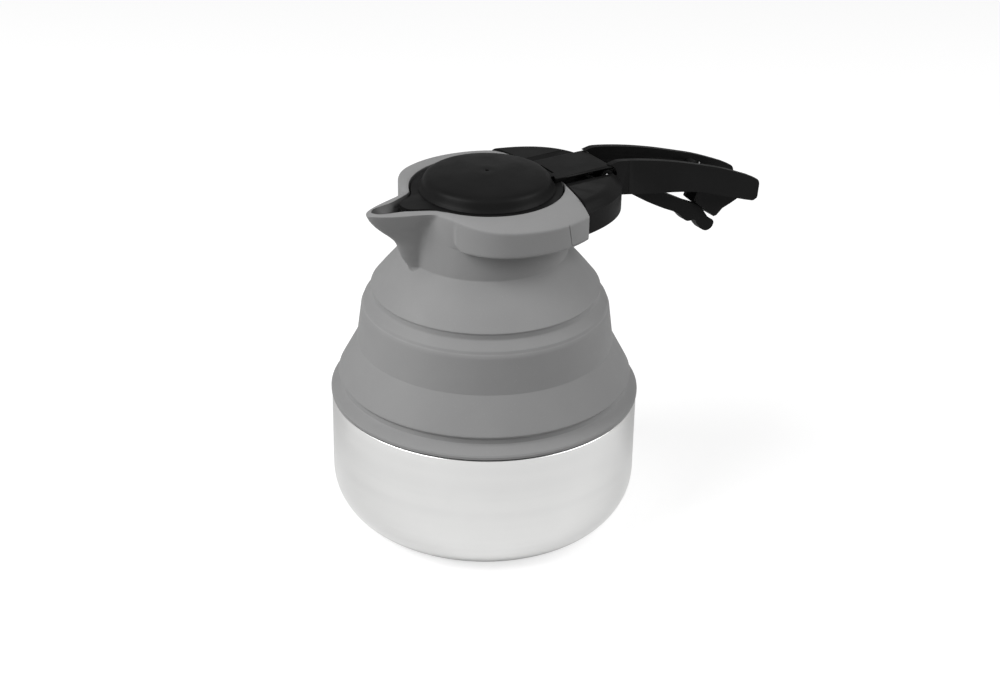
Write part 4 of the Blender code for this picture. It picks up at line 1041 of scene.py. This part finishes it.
# %% Trigger
trigger_outline = flowing(
    [(82.8, 152.0), (92.6, 145.8), (102.5, 140.3), (109.6, 136.8), (113.4, 134.3), (115.6, 131.9), (118.0, 129.9),
     (120.4, 129.4), (122.6, 129.5), (124.1, 128.3), (125.6, 125.9), (128.3, 122.9), (131.4, 121.6), (134.4, 122.5),
     (135.8, 125.0), (134.8, 127.0), (132.3, 128.6), (130.6, 130.6), (128.6, 133.3), (126.2, 136.0), (123.0, 138.0),
     (118.2, 140.2), (112.9, 143.1), (104.4, 147.6), (90.0, 155.0), (82.0, 160.6)], steps=5)
trigger = plate("finger_trigger", trigger_outline + [(78.0, 164.0), (74.3, 159.1)], -2.6, 2.6, upright=True)
nose_tip = (66.39, 168.44)
join(trigger, cross_bar("hub", 4.2, trigger_pin, -5.2, 5.2, 64),
     plate("nose", capsule(trigger_pin, nose_tip, 1.3), -2.3, 2.3, upright=True))
cut(trigger, cross_bar("bore", 1.8, trigger_pin, -9, 9, 48))
moulded(trigger, 0.45, 3, "trigger", "trigger_lever")

# %% Catch
cheek_outline = rounded([(123.1, 145.0), (121.0, 140.5), (130.5, 132.4), (133.2, 130.1), (135.1, 130.3),
                         (138.7, 133.4), (143.7, 135.1), (148.1, 136.9), (148.1, 139.9), (141.9, 148.2),
                         (129.1, 157.0), (124.0, 157.6)],
                        [2.0, 0.8, 0.4, 0.7, 0.7, 2.0, 2.0, 0.7, 0.7, 4.0, 2.0, 2.0], steps=4, closed=True)
web = [(130.5, 132.4), (133.2, 130.1), (135.1, 130.3), (138.7, 133.4), (137.0, 136.3), (132.6, 136.1)]
catch = plate("lid_catch_channel", web, -5.3, 5.3, upright=True)
for side in both_sides:
    join(catch, plate("cheek", cheek_outline, *sorted((3.5 * side, 5.3 * side)), upright=True),
         cross_bar("boss", 2.6, catch_pin, 3.2 * side, 8.7 * side, 48))
cut(catch, cross_bar("bore", 1.5, catch_pin, -12, 12, 40))
moulded(catch, 0.4, 2, "catch", "lid_catch")

# %% [markdown]
# ## Screws, pin and springs
# Nine screws hold the kettle's fittings. They differ only in the length of the shank, so they are what
# Geometry Nodes are for: one tree sets a head with a cross recess, and a shank as long as the point says, on
# every point of a small point mesh. Screws on one body become one mesh. The hinge pin is a plain bar with
# softened ends, and each spring is a wire wound round its pin with two straight legs.

# %% A tree that sets screws on points
def screw_head():
    """A pan head, upside down, its flat side at zero, with a cross recess from below."""
    profile = rounded([(0.05, 0.0), (2.3, 0.0), (2.3, -0.7), (1.5, -1.3), (0.05, -1.3)],
                      [0, 0.15, 0.5, 0.5, 0], steps=3)
    made = turned("screw_head", profile + [(0.0, -1.3), (0.0, 0.0)], screw_steel, steps=32, closed=False)
    cut(made, box_blank((-1.4, -0.25, -2.0), (1.4, 0.25, -0.65)), box_blank((-0.25, -1.4, -2.0), (0.25, 1.4, -0.65)))
    return shaded(made, 35.0)


def screws_tree():
    tree, given, out = new_tree("set screws", "GeometryNodeTree", {"Places": "Geometry", "Head": "Object",
                                                                   "Shank radius": "Float", "Finish": "Material"},
                                {"Screws": "Geometry"})
    places = given["Places"]
    head = node(tree, "GeometryNodeObjectInfo", {"Object": given["Head"]})["Geometry"]
    heads = node(tree, "GeometryNodeInstanceOnPoints", {"Points": places, "Instance": head})[0]
    shank = node(tree, "GeometryNodeMeshCylinder", {"Vertices": 20, "Depth": 1.0, "Radius": given["Shank radius"]})
    raised = node(tree, "GeometryNodeTransform", {"Geometry": shank["Mesh"], "Translation": (0.0, 0.0, 0.5)})[0]
    length = node(tree, "GeometryNodeInputNamedAttribute", {"Name": "shank"}, data_type="FLOAT")["Attribute"]
    size = node(tree, "ShaderNodeCombineXYZ", {"X": 1.0, "Y": 1.0, "Z": length})[0]
    shanks = node(tree, "GeometryNodeInstanceOnPoints", {"Points": places, "Instance": raised, "Scale": size})[0]
    both = tree.nodes.new("GeometryNodeJoinGeometry")
    for part in (heads, shanks):
        tree.links.new(part, both.inputs[0])
    made_real(tree, both.outputs[0], given["Finish"], out["Screws"])
    return tree


head_pattern, screw_setting = screw_head(), screws_tree()


def set_screws(name, body, places, *replaced):
    """places holds (x, y, height under the head, shank length) in millimetres."""
    made = mesh_object(name, [(x * mm, y * mm, z * mm) for x, y, z, _ in places], [])
    made.data.attributes.new("shank", "FLOAT", "POINT").data.foreach_set("value", [row[3] * mm for row in places])
    step = made.modifiers.new("screws", "NODES")
    step.node_group = screw_setting
    set_inputs(step, **{"Head": head_pattern, "Shank radius": 0.9 * mm, "Finish": screw_steel})
    dressed(report(shaded(applied(made), 35.0)), screw_steel, body, "screw_steel", *replaced)


set_screws("handle_screws", "top", [(x, y, 159.9, 11.0) for x, y in mount_screws]
           + [(arm_screw_x, arm_screw_y * side, 159.3, 6.0) for side in both_sides],
           "mount_screw_left", "mount_screw_right", "arm_screw_left", "arm_screw_right")
set_screws("lid_screws", "lid", [(x, y, 168.6, 6.2) for x, y in cap_screws]
           + [(x, y, 168.6, 5.3) for x, y in bridge_screws],
           "cap_screw_left", "cap_screw_front", "cap_screw_right", "bridge_screw_left", "bridge_screw_right")
bpy.data.objects.remove(head_pattern)

# %% Hinge pin and springs
hinge = cross_bar("hinge_rod", 1.5, pin, -12.25, 12.25, 48)
softened(hinge, 0.35, 3, 40.0)
dressed(report(hinge), screw_steel, "top", "screw_steel", "hinge_pin")


def wound_spring(name, centre, start, radius, wire, turns, replaced):
    """A wire wound round a pin that lies across the handle, with a straight leg at both ends."""
    per_turn, pitch, leg = 36, 0.9, radius + 0.4
    coil = [(x, start + pitch * step / per_turn, z)
            for step, (x, z) in enumerate(arc(centre, radius, 0, 360 * turns, turns * per_turn))]
    points = [(centre[0] + radius, start, centre[1] - leg), *coil,
              (centre[0] + radius, coil[-1][1], centre[1] + leg)]
    curve = bpy.data.curves.new(name, "CURVE")
    curve.dimensions = "3D"
    curve.bevel_depth, curve.bevel_resolution, curve.use_fill_caps = wire * mm, 3, True
    line = curve.splines.new("POLY")
    line.points.add(len(points) - 1)
    for target, point in zip(line.points, points):
        target.co = (*[size * mm for size in point], 1.0)
    wound = linked(name + " wire", curve)
    bpy.context.view_layer.update()
    made = linked(name, bpy.data.meshes.new_from_object(wound))
    bpy.data.objects.remove(wound)
    tidy_mesh(made)
    dressed(report(shaded(made)), dark_steel, "top", "screw_steel", replaced)


wound_spring("trigger_coil", trigger_pin, 5.85, 2.7, 0.35, 3, "trigger_spring")
wound_spring("catch_coil", catch_pin, -1.2, 1.9, 0.3, 4, "catch_spring")

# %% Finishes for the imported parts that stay
packed_finishes = {"collar_yoke": plastic, "trigger_pin": dark_steel, "catch_pin": dark_steel}
for name, finish in packed_finishes.items():
    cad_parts[name].data.materials.clear()
    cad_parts[name].data.materials.append(finish)
print("packed parts that show:", ", ".join(packed_finishes))

# %% [markdown]
# ## Camera, floor and light
# The camera stands to the right of the handle's line and 27 degrees up, with a long lens, as a studio shot of
# a small object is taken. The light is plain: a pale world, one large lamp above and to the left, and a weak
# one on the right. Camera and mirror rays see a white world, so the background is white without more light on
# the object. The floor is pale and keeps the shadow.

# %% Camera
camera_data = bpy.data.cameras.new("camera")
camera_data.sensor_width, camera_data.lens, camera_data.shift_x = 36.0, 72.0, 0.0153
camera_data.clip_start, camera_data.clip_end = 0.05, 20.0
camera = linked("camera", camera_data)
elevation, bearing, distance, target = math.radians(27.2), math.radians(-32.0), 0.9804, Vector((0, 0, 0.0895))
towards = Vector((math.sin(bearing) * math.cos(elevation), -math.cos(bearing) * math.cos(elevation),
                  math.sin(elevation)))
camera.location = target + towards * distance
lean = Matrix.Rotation(math.radians(0.8), 3, "Z")
camera.rotation_euler = ((-towards).to_track_quat("-Z", "Y").to_matrix() @ lean).to_euler()
bpy.context.scene.camera = camera
print("camera direction", tuple(round(part, 3) for part in towards))

# %% Floor and world
studio_rear = (0.53, 0.848, 0.0)


def rearwards(tree, place):
    """How far a place or a direction lies to the studio's rear, which the metal mirrors darker."""
    return node(tree, "ShaderNodeVectorMath", {0: place, 1: studio_rear}, operation="DOT_PRODUCT")["Value"]


def make_floor(reach=2.5):
    corners = [(x * reach, y * reach, 0.0) for x, y in ((-1, -1), (1, -1), (1, 1), (-1, 1))]
    made = mesh_object("floor", corners, [(0, 1, 2, 3)])
    material, tree = new_material("floor_white", 0.9, specular=0.0)
    seen = node(tree, "ShaderNodeLightPath")
    far = node(tree, "ShaderNodeVectorMath", {0: object_place(tree)}, operation="LENGTH")["Value"]
    # For mirror rays the floor glows, dimmer to the rear and not at all close round the pot: a painted reflection,
    # with a painted shadow under the pot.
    rear = spread(tree, rearwards(tree, object_place(tree)), 0.02, 0.12, 0.5, 0.16)
    painted_reflection = maths(tree, "MULTIPLY", rear, spread(tree, far, 0.058, 0.068, 0.0, 1.0))
    painted_reflection_ray = maths(tree, "MULTIPLY", seen["Is Glossy Ray"], painted_reflection)
    lift = maths(tree, "MULTIPLY_ADD", seen["Is Camera Ray"], 0.68, painted_reflection_ray)
    inputs = tree.nodes["Principled BSDF"].inputs
    inputs["Base Color"].default_value, inputs["Emission Color"].default_value = grey(0.5), grey(1.0)
    tree.links.new(lift, inputs["Emission Strength"])
    made.data.materials.append(material)
    made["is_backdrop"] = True


make_floor()

world = bpy.data.worlds.new("studio")
bpy.context.scene.world = world
world.use_nodes = True
tree = world.node_tree
tree.nodes.clear()
paths = node(tree, "ShaderNodeLightPath")
direct = paths["Is Camera Ray"]
for path in ("Is Glossy Ray", "Is Transmission Ray"):
    direct = maths(tree, "MAXIMUM", direct, paths[path])
dim = spread(tree, rearwards(tree, node(tree, "ShaderNodeTexCoord")["Generated"]), 0.05, 0.5, 0.0, 0.6)
strength = maths(tree, "SUBTRACT", 1.0, maths(tree, "MULTIPLY", paths["Is Glossy Ray"], dim))
ambient = node(tree, "ShaderNodeBackground", {"Color": grey(1.0), "Strength": 0.14})[0]
white = node(tree, "ShaderNodeBackground", {"Color": grey(1.0), "Strength": strength})[0]
chosen = node(tree, "ShaderNodeMixShader", {0: direct, 1: ambient, 2: white})[0]
node(tree, "ShaderNodeOutputWorld", {"Surface": chosen})


# %% Lamps
def lamp(name, place, power):
    data = bpy.data.lights.new(name, "AREA")
    data.shape, data.size, data.energy = "DISK", 1.1, power
    made = linked(name, data)
    made.location = place
    made.rotation_euler = (Vector((0, 0, 0.09)) - Vector(place)).to_track_quat("-Z", "Y").to_euler()


lamp("lamp_left", (-1.13, 0.12, 1.05), 20.5)
lamp("lamp_right", (0.86, -0.80, 1.01), 12.5)

bpy.context.scene.view_settings.view_transform = "Standard"

# %% Keep both boxes and finish
visual_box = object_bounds()
for label, box in (("packed", packed_box), ("visual", visual_box)):
    print(label, "box", [[round(part / mm, 1) for part in corner] for corner in box])
